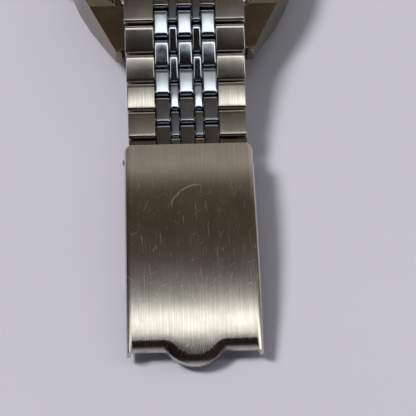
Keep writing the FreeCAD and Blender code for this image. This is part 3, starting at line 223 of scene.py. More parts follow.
def worn_cover_steel(look):
    """The clasp cover's brushed steel: it takes the most wear, so fine scratches and one long arc cross the brushing.

    Desk wear scratches are 0.02 to 0.05 mm wide; they are drawn 0.06 to 0.12 mm wide so that they show. The long
    one wavers over stretches of about 1.4 mm, and is kept only in one quarter of its circle.
    """
    material, tree, steel, place = drawn_steel("brushed_stainless_worn_cover", opaque(look.brushed_light),
                                               opaque(look.brushed_dark), look.brushed_roughness,
                                               streak_mm=0.11, run_mm=9.0, relief_um=12.0)
    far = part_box("clasp_cover")[1][1]
    middle = Vector((centre("clasp_cover").x + LONG_SCRATCH["aside"] * MM, far - LONG_SCRATCH["down"] * MM, 0.0))
    shifted = add_node(tree, "ShaderNodeMapping", {"Location": tuple(-middle), "Scale": (1.0, 1.0, 0.0)},
                       {"Vector": place})
    radius = add_node(tree, "ShaderNodeVectorMath", {"operation": "LENGTH"}, {0: shifted})
    waver = add_node(tree, "ShaderNodeTexNoise", {"Scale": 700.0, "Detail": 2.0}, {"Vector": place})
    wavy = add_node(tree, "ShaderNodeMath", {"operation": "MULTIPLY_ADD", 1: LONG_SCRATCH["waver"] * MM},
                    {0: waver, 2: radius.outputs["Value"]})
    off = add_node(tree, "ShaderNodeMath", {"operation": "SUBTRACT", 1: LONG_SCRATCH["radius"] * MM}, {0: wavy})
    width = add_node(tree, "ShaderNodeMath", {"operation": "ABSOLUTE"}, {0: off})
    ring = add_node(tree, "ShaderNodeMapRange",
                    {"From Min": LONG_SCRATCH["core"] * MM, "From Max": LONG_SCRATCH["fade"] * MM,
                     "To Min": 1.0, "To Max": 0.0}, {"Value": width})
    parts = add_node(tree, "ShaderNodeSeparateXYZ", None, {0: shifted})
    left = add_node(tree, "ShaderNodeMapRange", {"From Min": LONG_SCRATCH["right_from"] * MM,
                                                 "From Max": LONG_SCRATCH["right_to"] * MM}, {"Value": parts})
    upper = add_node(tree, "ShaderNodeMapRange", {"From Min": LONG_SCRATCH["low_from"] * MM,
                                                  "From Max": LONG_SCRATCH["low_to"] * MM}, {"Value": parts.outputs[1]})
    corner = add_node(tree, "ShaderNodeMath", {"operation": "MULTIPLY"}, {0: left, 1: upper})
    marks = add_node(tree, "ShaderNodeMath", {"operation": "MULTIPLY"}, {0: ring, 1: corner})
    for sort in SHORT_SCRATCHES:
        lines = scratches(tree, place, *sort)
        marks = add_node(tree, "ShaderNodeMath", {"operation": "MAXIMUM"}, {0: marks, 1: lines})
    share = add_node(tree, "ShaderNodeMath", {"operation": "MULTIPLY", 1: SCRATCH_TONE}, {0: marks})
    base = steel.inputs["Base Color"].links[0].from_socket
    marked = add_node(tree, "ShaderNodeMix", {"data_type": "RGBA", 7: srgb("#FBF8F2")}, {0: share, 6: base})
    rough = steel.inputs["Roughness"].links[0].from_socket
    opened = add_node(tree, "ShaderNodeMath", {"operation": "MULTIPLY_ADD", 1: SCRATCH_ROUGH}, {0: marks, 2: rough})
    tree.links.new(marked.outputs[2], steel.inputs["Base Color"])
    tree.links.new(opened.outputs[0], steel.inputs["Roughness"])
    return material


def turned_steel(name, light, dark, rough, ring_mm):
    """Metal turned on a lathe: fine rings about the watch's axis, which spread a highlight into two opposite fans."""
    material, tree, place = blank_material(name)
    level = add_node(tree, "ShaderNodeMapping", {"Scale": (1.0, 1.0, 0.0)}, {"Vector": place})
    radius = add_node(tree, "ShaderNodeVectorMath", {"operation": "LENGTH"}, {0: level})
    rings = add_node(tree, "ShaderNodeTexNoise", {"noise_dimensions": "1D", "Scale": 1 / (ring_mm * MM), "Detail": 4.0},
                     {"W": radius.outputs["Value"]})
    tone = add_node(tree, "ShaderNodeMix", {"data_type": "RGBA", 6: dark, 7: light}, {0: rings})
    relief = add_node(tree, "ShaderNodeBump", {"Strength": 0.5, "Distance": 12.0 * MICRON}, {"Height": rings})
    steel = add_node(tree, "ShaderNodeBsdfPrincipled", {"Metallic": 1.0, "Roughness": rough},
                     {"Base Color": tone.outputs[2], "Normal": relief})
    add_node(tree, "ShaderNodeOutputMaterial", None, {0: steel})
    return material


def mineral_crystal():
    """Flat ground mineral glass, clear with a faint haze of cleaning marks in patches about 3 mm across."""
    material, tree, place = blank_material("mineral_glass_crystal")
    haze = add_node(tree, "ShaderNodeTexNoise", {"Scale": 300.0, "Detail": 3.0}, {"Vector": place})
    rough = add_node(tree, "ShaderNodeMapRange", {"From Min": 0.4, "From Max": 0.8, "To Min": 0.0, "To Max": 0.05},
                     {"Value": haze})
    glass = add_node(tree, "ShaderNodeBsdfPrincipled",
                     {"Base Color": srgb("#F4F8F6"), "Transmission Weight": 1.0, "IOR": 1.52}, {"Roughness": rough})
    add_node(tree, "ShaderNodeOutputMaterial", None, {0: glass})
    return material


def moulded(name, colour, rough, ior, grain_mm):
    """Moulded plastic, rubber or printed ink: an even colour with a slight mottle and a fine grain."""
    material, tree, place = blank_material(name)
    grain = add_node(tree, "ShaderNodeTexNoise", {"Scale": 1 / (grain_mm * MM), "Detail": 3.0}, {"Vector": place})
    tone = add_node(tree, "ShaderNodeMix", {"data_type": "RGBA", 6: opaque(colour, 0.75), 7: colour}, {0: grain})
    relief = add_node(tree, "ShaderNodeBump", {"Strength": 0.3, "Distance": 10.0 * MICRON}, {"Height": grain})
    plastic = add_node(tree, "ShaderNodeBsdfPrincipled", {"Roughness": rough, "IOR": ior},
                       {"Base Color": tone.outputs[2], "Normal": relief})
    add_node(tree, "ShaderNodeOutputMaterial", None, {0: plastic})
    return material


def lacquered_dial(look):
    """Dial blank brushed outwards from its middle, under clear lacquer, with polished steel markers.

    The brush strokes fan out, about 60 to a radian. The markers are the part of the node that stands in front of the
    blank.
    """
    material, tree, place = blank_material("sunburst_lacquered_brass")
    parts = add_node(tree, "ShaderNodeSeparateXYZ", None, {0: place})
    angle = add_node(tree, "ShaderNodeMath", {"operation": "ARCTAN2"}, {0: parts.outputs[1], 1: parts})
    rays = add_node(tree, "ShaderNodeTexNoise", {"noise_dimensions": "1D", "Scale": 60.0, "Detail": 6.0}, {"W": angle})
    tone = add_node(tree, "ShaderNodeMix", {"data_type": "RGBA", 6: srgb("#10182A"), 7: opaque(look.dial_colour)},
                    {0: rays})
    relief = add_node(tree, "ShaderNodeBump", {"Strength": 0.4, "Distance": 10.0 * MICRON}, {"Height": rays})
    blank = add_node(tree, "ShaderNodeBsdfPrincipled", {"Metallic": 0.7, "Roughness": 0.34, "Coat Weight": 1.0,
                                                        "Coat Roughness": 0.03},
                     {"Base Color": tone.outputs[2], "Normal": relief})
    marker = add_node(tree, "ShaderNodeBsdfPrincipled",
                      {"Metallic": 1.0, "Roughness": 0.09, "Base Color": srgb("#D6D3CE")})
    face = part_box("dial")[0][2] + DIAL["marker_from"] * MM
    stands = add_node(tree, "ShaderNodeMath", {"operation": "LESS_THAN", 1: face}, {0: parts.outputs[2]})
    mixed = add_node(tree, "ShaderNodeMixShader", None, {0: stands, 1: blank, 2: marker})
    add_node(tree, "ShaderNodeOutputMaterial", None, {0: mixed})
    return material


def stand(name, mesh, body, material):
    """Put a mesh into the scene as a piece of one material that rides on a body."""
    mesh.materials.clear()
    mesh.materials.append(material)
    piece = bpy.data.objects.new(name, mesh)
    bpy.context.scene.collection.objects.link(piece)
    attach(piece, body)
    return piece


def dress(names, material):
    """Stand in for each CAD node a copy with its doubles merged and its curved faces shaded smooth.

    Edges where the faces turn by more than CRISP_CAD stay crisp, as a machined edge does.
    """
    for name in names:
        mesh = NODES[name].data.copy()
        form = bmesh.new()
        form.from_mesh(mesh)
        bmesh.ops.remove_doubles(form, verts=form.verts, dist=DOUBLES * MM)
        form.to_mesh(mesh)
        form.free()
        mesh.name = "finished_" + name
        mesh.shade_smooth()
        mesh.set_sharp_from_angle(angle=math.radians(CRISP_CAD))
        piece = stand("finished_" + name, mesh, BODY_OF[name], material)
        flats = piece.modifiers.new("flat faces stay flat", "WEIGHTED_NORMAL")
        flats.mode, flats.weight, flats.keep_sharp = "FACE_AREA", FLAT_WEIGHT, True
        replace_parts(piece, name)


# ---------------------------------------------------------------------------------------------------------
# Surfaces worked out with numpy
# ---------------------------------------------------------------------------------------------------------

def grid_faces(rows, columns):
    """Faces of a grid of points that is closed round both ways, as one (n, 4) array."""
    i, j = np.meshgrid(np.arange(rows), np.arange(columns), indexing="ij")
    after, beside = (i + 1) % rows, (j + 1) % columns
    return np.stack([i * columns + j, i * columns + beside, after * columns + beside, after * columns + j],
                    axis=-1).reshape(-1, 4)


def mesh_piece(name, shapes, body, material):
    """One mesh piece on a body, from shapes that are points and a list of face arrays of one corner count each.

    It is shaded smooth but for edges where the faces turn by more than CRISP_SHAPED.
    """
    starts = np.cumsum([0] + [len(points) for points, blocks in shapes[:-1]])
    faces = [face for start, (points, blocks) in zip(starts, shapes) for block in blocks
             for face in (block + start).tolist()]
    mesh = bpy.data.meshes.new(name)
    mesh.from_pydata(np.concatenate([points for points, blocks in shapes]).tolist(), [], faces)
    mesh.validate()
    form = bmesh.new()
    form.from_mesh(mesh)
    bmesh.ops.recalc_face_normals(form, faces=form.faces)
    form.to_mesh(mesh)
    form.free()
    mesh.shade_smooth()
    mesh.set_sharp_from_angle(angle=math.radians(CRISP_SHAPED))
    return stand(name, mesh, body, material)


def unit_circle(step):
    """Points of a circle of radius 1, one each step degrees. They are their own outward normals."""
    turn = np.radians(np.arange(0, 360, step))
    return np.stack([np.cos(turn), np.sin(turn)], axis=1)


def bar_across(outline, facing, low, high, easing):
    """Points and faces of a closed bar that carries one outline along X, from low to high, its two rims rounded.

    outline is a closed loop of (y, z) points and facing its outward unit normals. Ring j lies at the X of a quarter
    circle of radius easing at each end, and there its outline is drawn in along facing by that quarter circle's
    other reach: x = high - easing + easing * sin(a), inset = easing * (1 - cos(a)).
    """
    turn = np.radians([0.0, 22.5, 45.0, 67.5, 90.0])
    reach, inset = easing * np.sin(turn), easing * (1 - np.cos(turn))
    along = np.concatenate([low + easing - reach[::-1], high - easing + reach])
    drawn_in = np.concatenate([inset[::-1], inset])
    count = len(outline)
    points = np.empty((len(along), count, 3))
    points[..., 0] = along[:, None]
    points[..., 1:] = outline[None] - drawn_in[:, None, None] * facing[None]
    return points.reshape(-1, 3), tube_faces(len(along), count)


def tube_faces(rings, count):
    """Faces of a tube of rings, each a loop of count points: its four-cornered sides, and a flat face over each end.

    The sides are a closed grid's faces without the last row, which would join the last ring to the first.
    """
    first = np.arange(count)
    return [grid_faces(rings, count)[:-count], np.stack([first[::-1], first + (rings - 1) * count])]


def link_outline(half_length, half_height, outer_round, wrist_round, crown, lean):
    """Side view of a link as (y, z) points with outward normals, about its middle, its outer face towards +Z.

    The outer face is a shallow arc that drops towards -Y by lean degrees, so the links lap like roof tiles:
    z = top - y * y / (2 * crown) + y * tan(lean). Quarter circles of outer_round and wrist_round join it and the
    flat wrist face to the upright ends.
    """
    quarter = np.radians(np.linspace(0, 90, POINTS["link_corner"]))
    flat = half_length - outer_round
    slope = math.tan(math.radians(lean))
    run = np.linspace(-flat, flat, POINTS["link_crown"])
    face = half_height + run * slope - flat * slope - run ** 2 / (2 * crown)
    top = np.stack([run, face], axis=1)
    top_face = np.stack([run / crown - slope, np.ones_like(run)], axis=1)
    parts, faces = [top], [top_face]
    for side, height, radius, turn in ((1, face[-1] - outer_round, outer_round, quarter[::-1][1:]),
                                       (1, wrist_round - half_height, wrist_round, -quarter),
                                       (-1, wrist_round - half_height, wrist_round, -quarter[::-1]),
                                       (-1, face[0] - outer_round, outer_round, quarter[:-1])):
        way = np.stack([side * np.cos(turn), np.sin(turn)], axis=1)
        parts.append(np.array([side * (half_length - radius), height]) + radius * way)
        faces.append(way)
    outline, facing = np.concatenate(parts), np.concatenate(faces)
    return outline[::-1], (facing / np.linalg.norm(facing, axis=1, keepdims=True))[::-1]


def row_frame(name):
    """Outward and lengthwise directions in the (y, z) plane, middle, half length and columns of a row of links.

    The outer faces are the row's largest flat area, so the direction that the most area of its triangles looks in
    is theirs. Each such triangle spans its link's whole width, so their X ranges are the columns.
    """
    mesh = NODES[name].data
    spots = np.empty(len(mesh.vertices) * 3)
    mesh.vertices.foreach_get("co", spots)
    spots = spots.reshape(-1, 3)
    mesh.calc_loop_triangles()
    corners = np.empty(len(mesh.loop_triangles) * 3, dtype=np.int64)
    mesh.loop_triangles.foreach_get("vertices", corners)
    triangle = spots[corners.reshape(-1, 3)]
    across = np.cross(triangle[:, 1] - triangle[:, 0], triangle[:, 2] - triangle[:, 0])
    area = np.linalg.norm(across, axis=1)
    solid = area > SLIVER
    triangle, across, area = triangle[solid], across[solid], area[solid]
    unit = across / area[:, None]
    slope = np.round(np.degrees(np.arctan2(unit[:, 2], unit[:, 1])), 1)
    usable = np.abs(unit[:, 0]) < LEVEL_ACROSS
    kinds, member = np.unique(slope[usable], return_inverse=True)
    best = np.argmax(np.bincount(member, weights=area[usable]))
    angle = math.radians(kinds[best])
    outward = np.array([math.cos(angle), math.sin(angle)])
    along = np.array([outward[1], -outward[0]])
    reach_along, reach_out = spots[:, 1:] @ along, spots[:, 1:] @ outward
    middle = along * (reach_along.max() + reach_along.min()) / 2 + outward * (reach_out.max() + reach_out.min()) / 2
    face = triangle[usable][member == best]
    spans = np.round(np.stack([face[..., 0].min(axis=1), face[..., 0].max(axis=1)], axis=1), 5)
    return outward, along, middle, (reach_along.max() - reach_along.min()) / 2, np.unique(spans, axis=0)


def cover_height(y, depth):
    """Height of the cover's arch at a Y, a depth below its outer face: part of a circle about a line under it."""
    return COVER["arch_z"] + np.sqrt((COVER["arch_radius"] - depth) ** 2 - (y - COVER["arch_y"]) ** 2)


def cover_place(points):
    """Points from the cover's own axes, about its spring bar, to the lying pose: a turn about X and a shift."""
    tilt = math.radians(COVER["tilt"])
    bar = centre("clasp_spring_bar") / MM
    turned = points.copy()
    turned[..., 1] = points[..., 1] * math.cos(tilt) - points[..., 2] * math.sin(tilt) + bar.y
    turned[..., 2] = points[..., 1] * math.sin(tilt) + points[..., 2] * math.cos(tilt) + bar.z
    return turned * MM


def lip_curve():
    """The lip's outline in plan as (x, y) points with outward normals, from left to right.

    It is straight, then a small hollow arc, the tab's large arc, the second hollow arc, and straight again. The
    hollow arcs and the tab's arc are tangent, so their radii share the circle through the tab's foot and tip.
    """
    half, depth, share = COVER["tab_half"], COVER["tab_depth"], COVER["flare_share"]
    whole = (half ** 2 + depth ** 2) / (2 * depth)
    sweep = math.asin(half / whole)
    small, large = whole * share, whole * (1 - share)
    edge, side = COVER["lip_y"], COVER["half_width"] - COVER["edge_round"]
    straight = np.linspace(-side, -half, POINTS["lip_straight"])[:-1]
    left = [np.stack([straight, np.full_like(straight, edge)], axis=1)]
    left_way = [np.stack([np.zeros_like(straight), -np.ones_like(straight)], axis=1)]
    turn = np.linspace(0, sweep, POINTS["lip_hollow"])[:-1]
    left.append(np.stack([-half + small * np.sin(turn), edge - small * (1 - np.cos(turn))], axis=1))
    left_way.append(np.stack([-np.sin(turn), -np.cos(turn)], axis=1))
    turn = np.linspace(-sweep, 0, POINTS["lip_tab"])
    left.append(np.stack([large * np.sin(turn), edge - depth + large * (1 - np.cos(turn))], axis=1))
    left_way.append(np.stack([np.sin(turn), -np.cos(turn)], axis=1))
    spots, ways = np.concatenate(left), np.concatenate(left_way)
    mirror = np.array([-1.0, 1.0])
    return np.concatenate([spots, spots[-2::-1] * mirror]), np.concatenate([ways, ways[-2::-1] * mirror])


def cover_sheet():
    """Points and faces of the cover's arched top with its rolled and scalloped lip.

    Each point of the lip's curve carries one closed section. Outside it runs along the arch to the roll, whose
    centre lies on the arch sunk by the roll's radius; round the roll, its direction blended from the arch's normal
    to the lip's; down the cut edge; and back inside, round the smaller roll and along the arch sunk by the sheet.
    roll_out and roll_up are the direction that the roll looks in where it ends.
    """
    spots, ways = lip_curve()
    thick, roll, far = COVER["sheet"], COVER["roll"], COVER["far_y"]
    hub = spots - COVER["roll_out"] * roll * ways
    radius = COVER["arch_radius"]
    hub_z = cover_height(hub[:, 1], roll)
    hub_3d = np.column_stack([hub, hub_z])
    normal = np.column_stack([np.zeros(len(hub)), (hub[:, 1] - COVER["arch_y"]) / (radius - roll),
                              (hub_z - COVER["arch_z"]) / (radius - roll)])

    def rolled(reach, tip, count):
        share = np.linspace(0, 1, count)[:, None, None]
        way = (1 - share) * normal[None] + share * tip[None]
        way /= np.linalg.norm(way, axis=2, keepdims=True)
        return hub_3d[None] + reach * way

    def run(depth, stop):
        share = np.linspace(0, 1, POINTS["arch"])[:, None]
        y = far + (stop[None] - far) * share
        return np.stack([np.broadcast_to(hub[:, 0], y.shape), y, cover_height(y, depth)], axis=2)

    outer_tip = np.column_stack([COVER["roll_out"] * ways, np.full(len(ways), COVER["roll_up"])])
    inner_tip = np.column_stack([ways, np.zeros(len(ways))])
    outer = rolled(roll, outer_tip, POINTS["roll_outside"])
    inner = rolled(roll - thick, inner_tip, POINTS["roll_inside"])
    foot = np.column_stack([spots, cover_height(spots[:, 1], COVER["lip_drop"])])
    heel = inner[-1].copy()
    heel[:, 2] = cover_height(heel[:, 1], COVER["lip_drop"])
    section = np.concatenate([run(0.0, outer[0, :, 1])[:-1], outer, foot[None], heel[None], inner[::-1],
                              run(thick, inner[0, :, 1])[-2::-1]])
    points = np.swapaxes(section, 0, 1)
    return cover_place(points).reshape(-1, 3), tube_faces(*points.shape[:2])


def cover_wall(side):
    """Points and faces of one bent-down side wall with the rounded bend that joins it to the top.

    The closed section in (x, depth) is a quarter circle of the bend, the wall's outer face, its cut foot, its inner
    face and a smaller quarter circle. It is carried along the arch, shallower over the last stretch, and its reach
    in X shrinks as a quarter circle towards the far edge, which rounds the corner.
    """
    bend, thick, half = COVER["edge_round"], COVER["sheet"], COVER["half_width"]
    quarter = np.radians(np.linspace(0, 90, POINTS["wall_bend"]))
    outer = np.stack([bend * np.sin(quarter), bend * (1 - np.cos(quarter))], axis=1)
    small = bend - thick
    inner = np.stack([small * np.sin(quarter), thick + small * (1 - np.cos(quarter))], axis=1)[::-1]
    corner = bend * (1 - np.cos(np.radians(np.linspace(10, 90, POINTS["wall_corner"]))))
    stations = np.concatenate([COVER["far_y"] - corner[:-1],
                               np.linspace(COVER["far_y"] - bend, COVER["lip_y"] - COVER["wall_tip"], POINTS["wall"])])
    gone = np.clip((COVER["far_y"] - stations) / bend, 0, 1)
    reach = np.sqrt(1 - (1 - gone) ** 2)
    start = COVER["lip_y"] + COVER["wall_run"]
    share = np.clip((start - stations) / (COVER["wall_run"] + COVER["wall_tip"]), 0, 1)
    depth = COVER["wall_depth"] + (COVER["wall_end"] - COVER["wall_depth"]) * share
    wall = np.array([[bend, 0.0], [small, 0.0]])
    section = np.concatenate([outer, wall, inner])
    across = np.broadcast_to(section[:, 0], (len(stations), len(section))) * reach[:, None]
    down = np.broadcast_to(section[:, 1], across.shape).copy()
    down[:, len(outer):len(outer) + len(wall)] = depth[:, None]
    y = np.broadcast_to(stations[:, None], across.shape)
    points = np.stack([side * (half - bend + across), y, cover_height(y, down)], axis=2)
    if side > 0:
        points = points[:, ::-1]
    return cover_place(points).reshape(-1, 3), tube_faces(*points.shape[:2])


def spiral_ribbon(middle, inner, outer, turns, width, height):
    """Points of a flat spiral spring, a closed strip of four long sides.

    The radius grows evenly with the angle from inner to outer, and each section is a rectangle, width across the
    spiral and height along Z. The last section joins the first through the ribbon's ends, which are pinched shut.
    """
    count = POINTS["spring_turn"] * turns
    angle = np.linspace(0, 2 * math.pi * turns, count)
    radius = np.linspace(inner, outer, count)
    pinch = np.ones(count)
    pinch[[0, -1]] = 0.02
    corner_r = np.array([-0.5, 0.5, 0.5, -0.5]) * width
    corner_z = np.array([-0.5, -0.5, 0.5, 0.5]) * height
    reach = radius[:, None] + corner_r[None, :] * pinch[:, None]
    points = np.empty((count, 4, 3))
    points[..., 0] = middle[0] + reach * np.cos(angle)[:, None]
    points[..., 1] = middle[1] + reach * np.sin(angle)[:, None]
    points[..., 2] = middle[2] + corner_z[None, :] * pinch[:, None]
    return points.reshape(-1, 3), tube_faces(count, 4)


def ticks_round(middle, inner, outer, width, height, count, skip):
    """Points and faces of count small blocks laid like spokes round a circle, without every skip-th one.

    Block k is turned by k / count of a turn; its eight corners are the products of two radii, two half widths and
    two heights.
    """
    numbers = np.arange(count)
    numbers = numbers[numbers % skip != 0]
    angle = 2 * math.pi * numbers / count
    radial = np.array([inner, outer, outer, inner] * 2)
    across = np.array([-1, -1, 1, 1] * 2) * width / 2
    up = np.array([0] * 4 + [1] * 4) * height
    points = np.empty((len(numbers), 8, 3))
    points[..., 0] = middle[0] + radial * np.cos(angle)[:, None] - across * np.sin(angle)[:, None]
    points[..., 1] = middle[1] + radial * np.sin(angle)[:, None] + across * np.cos(angle)[:, None]
    points[..., 2] = middle[2] + up
    block = np.array([[3, 2, 1, 0], [4, 5, 6, 7], [0, 1, 5, 4], [1, 2, 6, 5], [2, 3, 7, 6], [3, 0, 4, 7]])
    faces = (block[None] + 8 * np.arange(len(numbers))[:, None, None]).reshape(-1, 4)
    return points.reshape(-1, 3), [faces]


# ---------------------------------------------------------------------------------------------------------
# Settings
# ---------------------------------------------------------------------------------------------------------

class WatchLookSettings(bpy.types.PropertyGroup):
    brushed_light: FloatVectorProperty(name="Brushed light", description="Lighter streak of the brushed steel",
                                       default=srgb("#DAD7D2")[:3], min=0.0, max=1.0, subtype="COLOR", size=3)
    brushed_dark: FloatVectorProperty(name="Brushed dark", description="Darker streak of the brushed steel",
                                      default=srgb("#96938E")[:3], min=0.0, max=1.0, subtype="COLOR", size=3)
    brushed_roughness: FloatProperty(name="Brushed roughness", description="Roughness of the brushed steel",
                                     default=0.15, min=0.0, max=1.0, subtype="FACTOR")
    polished_roughness: FloatProperty(name="Polished roughness", description="Roughness of the polished steel",
                                      default=0.05, min=0.0, max=1.0, subtype="FACTOR")
    dial_colour: FloatVectorProperty(name="Dial colour", description="Lighter rays of the dial's lacquer",
                                     default=srgb("#2C3E63")[:3], min=0.0, max=1.0, subtype="COLOR", size=3)
    hairspring_turns: IntProperty(name="Hairspring turns", description="Turns of the balance wheel's spring",
                                  default=9, min=3, max=14)
    hairspring_width: FloatProperty(name="Hairspring width", description="Width of the spring's ribbon",
                                    default=0.05 * MM, min=0.01 * MM, max=0.2 * MM, unit="LENGTH")


class WatchStageSettings(bpy.types.PropertyGroup):
    floor_colour: FloatVectorProperty(name="Floor colour", description="Colour of the floor sheet",
                                      default=srgb("#C5C6D6")[:3], min=0.0, max=1.0, subtype="COLOR", size=3)
    floor_size: FloatProperty(name="Floor size", description="Side of the square floor", default=2.2, min=0.3,
                              unit="LENGTH")
    key_strength: FloatProperty(name="Key strength", description="Strength of the wide sun in watts per square metre",
                                default=2.56, min=0.0)
    key_angle: FloatProperty(name="Key width", description="Angle that the sun fills, which softens the shadows",
                             default=math.radians(16.0), min=0.0, max=math.radians(90.0), unit="ROTATION")
    fill_power: FloatProperty(name="Fill power", description="Power of the lamp in front in watts", default=0.18,
                              min=0.0)
    sky_level: FloatProperty(name="Surround level", description="Strength of the room that the metal reflects",
                             default=2.55, min=0.0)
    view_distance: FloatProperty(name="View distance", description="Camera to the clasp", default=0.215, min=0.05,
                                 unit="LENGTH")
    view_lens: FloatProperty(name="Lens", description="Focal length in millimetres", default=125.755, min=10.0)
    view_azimuth: FloatProperty(name="Azimuth", description="Camera's turn round the watch", unit="ROTATION",
                                default=math.radians(-3.118))
    view_elevation: FloatProperty(name="Elevation", description="Camera's height above the floor's plane",
                                  default=math.radians(55.129), unit="ROTATION")
    view_roll: FloatProperty(name="Roll", description="Camera's turn about its own axis", default=math.radians(1.164),
                             unit="ROTATION")
    view_aim: FloatVectorProperty(name="Aim", description="Point that the camera looks at",
                                  default=(2.587 * MM, -50.815 * MM, 6.0 * MM), subtype="TRANSLATION", size=3)


# ---------------------------------------------------------------------------------------------------------
# Operators
# ---------------------------------------------------------------------------------------------------------

class WATCH_OT_bracelet(bpy.types.Operator):
    """Build the crowned links, brush the wide ones, polish the rest, and finish the rows at the lugs and the clasp"""
    bl_idname = "watch.bracelet"
    bl_label = "Bracelet"

    def execute(self, context):
        look = context.scene.watch_look
        brushed = drawn_steel("brushed_stainless_links", opaque(look.brushed_light), opaque(look.brushed_dark),
                              look.brushed_roughness, streak_mm=0.13, run_mm=9.0, relief_um=9.0)[0]
        # Painted reflection: the polished links' steel is coloured darker and bluer than the polished steel of the case
        # and hands, a bluish reflection painted into the metal's colour.
        polished = buffed_steel("polished_stainless_links_painted_blue_reflection", srgb("#BCC4D2"), srgb("#98A1B0"), look.polished_roughness)
        for name in OUTER_ROWS + MIDDLE_ROWS:
            outward, along, middle, half_length, columns = row_frame(name)
            if abs(half_length / MM - LINK["length"] / 2) < LINK["length_slack"]:
                self.row(name, outward, along, middle, columns, brushed, polished)
            else:                # a shorter or longer row at the lugs or the clasp keeps its own shape
                dress([name], brushed if name in OUTER_ROWS else polished)
        return {"FINISHED"}

    def row(self, name, outward, along, middle, columns, brushed, polished):
        """One row of links on its body: wide ones in brushed steel with their pins, the others polished."""
        kind = "" if name in OUTER_ROWS else "middle_"
        outline, facing = link_outline(LINK["length"] / 2, LINK["height"] / 2, LINK[kind + "round"],
                                       LINK["wrist_round"], LINK[kind + "crown"], LINK[kind + "lean"])
        axes = np.stack([along, outward])
        outline, facing = middle + outline * MM @ axes, facing @ axes
        wide, slim = [], []
        for low, high in columns:
            is_wide = high - low > LINK["wide_from"] * MM
            ease = LINK["wide_ease" if is_wide else "slim_ease"] * MM
            (wide if is_wide else slim).append(bar_across(outline, facing, low, high, ease))
        if wide:
            circle, proud = unit_circle(POINTS["pin_degrees"]), LINK["pin_proud"] * MM
            for side in (-1, 1):
                hub = middle + side * LINK["pin_spacing"] / 2 * MM * along
                wide.append(bar_across(hub + circle * LINK["pin"] * MM, circle, columns.min() - proud,
                                       columns.max() + proud, LINK["pin_ease"] * MM))
            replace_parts(mesh_piece("wide_links_" + name, wide, BODY_OF[name], brushed), name)
        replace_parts(mesh_piece("slim_links_" + name, slim, BODY_OF[name], polished), name)


class WATCH_OT_clasp(bpy.types.Operator):
    """Build the clasp's arched cover and finish its blades and pins"""
    bl_idname = "watch.clasp"
    bl_label = "Clasp"

    def execute(self, context):
        look = context.scene.watch_look
        cover = mesh_piece("arched_cover", [cover_sheet()], BODY_OF["clasp_cover"],
                           worn_cover_steel(look))
        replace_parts(cover, "clasp_cover")
        self.walls(cover)
        blades = drawn_steel("tumbled_stainless_blades", srgb("#C4C1BC"), srgb("#98948E"), rough=0.32,
                             streak_mm=0.3, run_mm=4.0, relief_um=6.0)[0]
        dress(["inner_blade", "outer_blade"], blades)
        pins = turned_steel("ground_stainless_pins", srgb("#D2CFCA"), srgb("#A9A59F"), rough=0.2, ring_mm=0.05)
        dress(["clasp_spring_bar", "lip_hinge_pin", "blade_hinge_pin", "lug_spring_bars"], pins)
        return {"FINISHED"}

    def walls(self, cover):
        """Both side walls, with the spring bar's four pairs of holes and the hinge pin's pair drilled through."""
        walls = mesh_piece("cover_walls", [cover_wall(-1), cover_wall(1)], BODY_OF["clasp_cover"],
                           cover.data.materials[0])
        circle, reach = unit_circle(POINTS["hole_degrees"]), COVER["drill_reach"] * MM
        spots = [(-number * COVER["hole_pitch"], 0.0, COVER["hole"]) for number in range(COVER["holes"])]
        spots.append((COVER["pin_y"], float(cover_height(COVER["pin_y"], COVER["pin_depth"])), COVER["pin_hole"]))
        drills = []
        for y, z, radius in spots:
            hub = cover_place(np.array([0.0, y, z]))[1:]
            drills.append(bar_across(hub + circle * radius * MM, circle, -reach, reach, COVER["drill_ease"] * MM))
        cutter = mesh_piece("drills", drills, BODY_OF["clasp_cover"], cover.data.materials[0])
        drilled = walls.modifiers.new("drilled", "BOOLEAN")
        drilled.operation, drilled.solver, drilled.object = "DIFFERENCE", "EXACT", cutter
        shape = walls.evaluated_get(bpy.context.evaluated_depsgraph_get())
        mesh = bpy.data.meshes.new_from_object(shape)
        walls.modifiers.clear()
        walls.data = mesh
        mesh.set_sharp_from_angle(angle=math.radians(CRISP_SHAPED))
        bpy.data.objects.remove(cutter)
        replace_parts(walls, "clasp_cover")


class WATCH_OT_head(bpy.types.Operator):
    """Finish the case, bezel, case back, crystal, gaskets and crown"""
    bl_idname = "watch.head"
    bl_label = "Head"

    def execute(self, context):
        look = context.scene.watch_look
        # Painted shade: the case's brushed steel is coloured darker and more olive-brown than the same steel of the
        # bracelet, standing in for the shaded floor that its flank reflects.
        flank_painted_shade = drawn_steel("brushed_stainless_case_painted_shade", srgb("#9C9383"), srgb("#6E6658"), rough=0.24,
                            streak_mm=0.14, run_mm=7.0, relief_um=7.0, across=2)[0]
        dress(["case"], flank_painted_shade)
        back = turned_steel("turned_stainless_back", srgb("#D4D0CA"), srgb("#ABA69F"), rough=0.2, ring_mm=0.09)
        dress(["case_back"], back)
        polished = buffed_steel("polished_stainless_case", srgb("#DAD7D3"), srgb("#BDB9B4"), look.polished_roughness)
        dress(["bezel", "crown", "winding_stem"], polished)
        dress(["crystal"], mineral_crystal())
        nylon = moulded("moulded_nylon_gasket", srgb("#E4E2DA"), rough=0.5, ior=1.53, grain_mm=0.2)
        dress(["crystal_gasket"], nylon)
        nitrile = moulded("moulded_nitrile_gasket", srgb("#1B1B1C"), rough=0.6, ior=1.52, grain_mm=0.15)
        dress(["case_back_gasket"], nitrile)
        return {"FINISHED"}


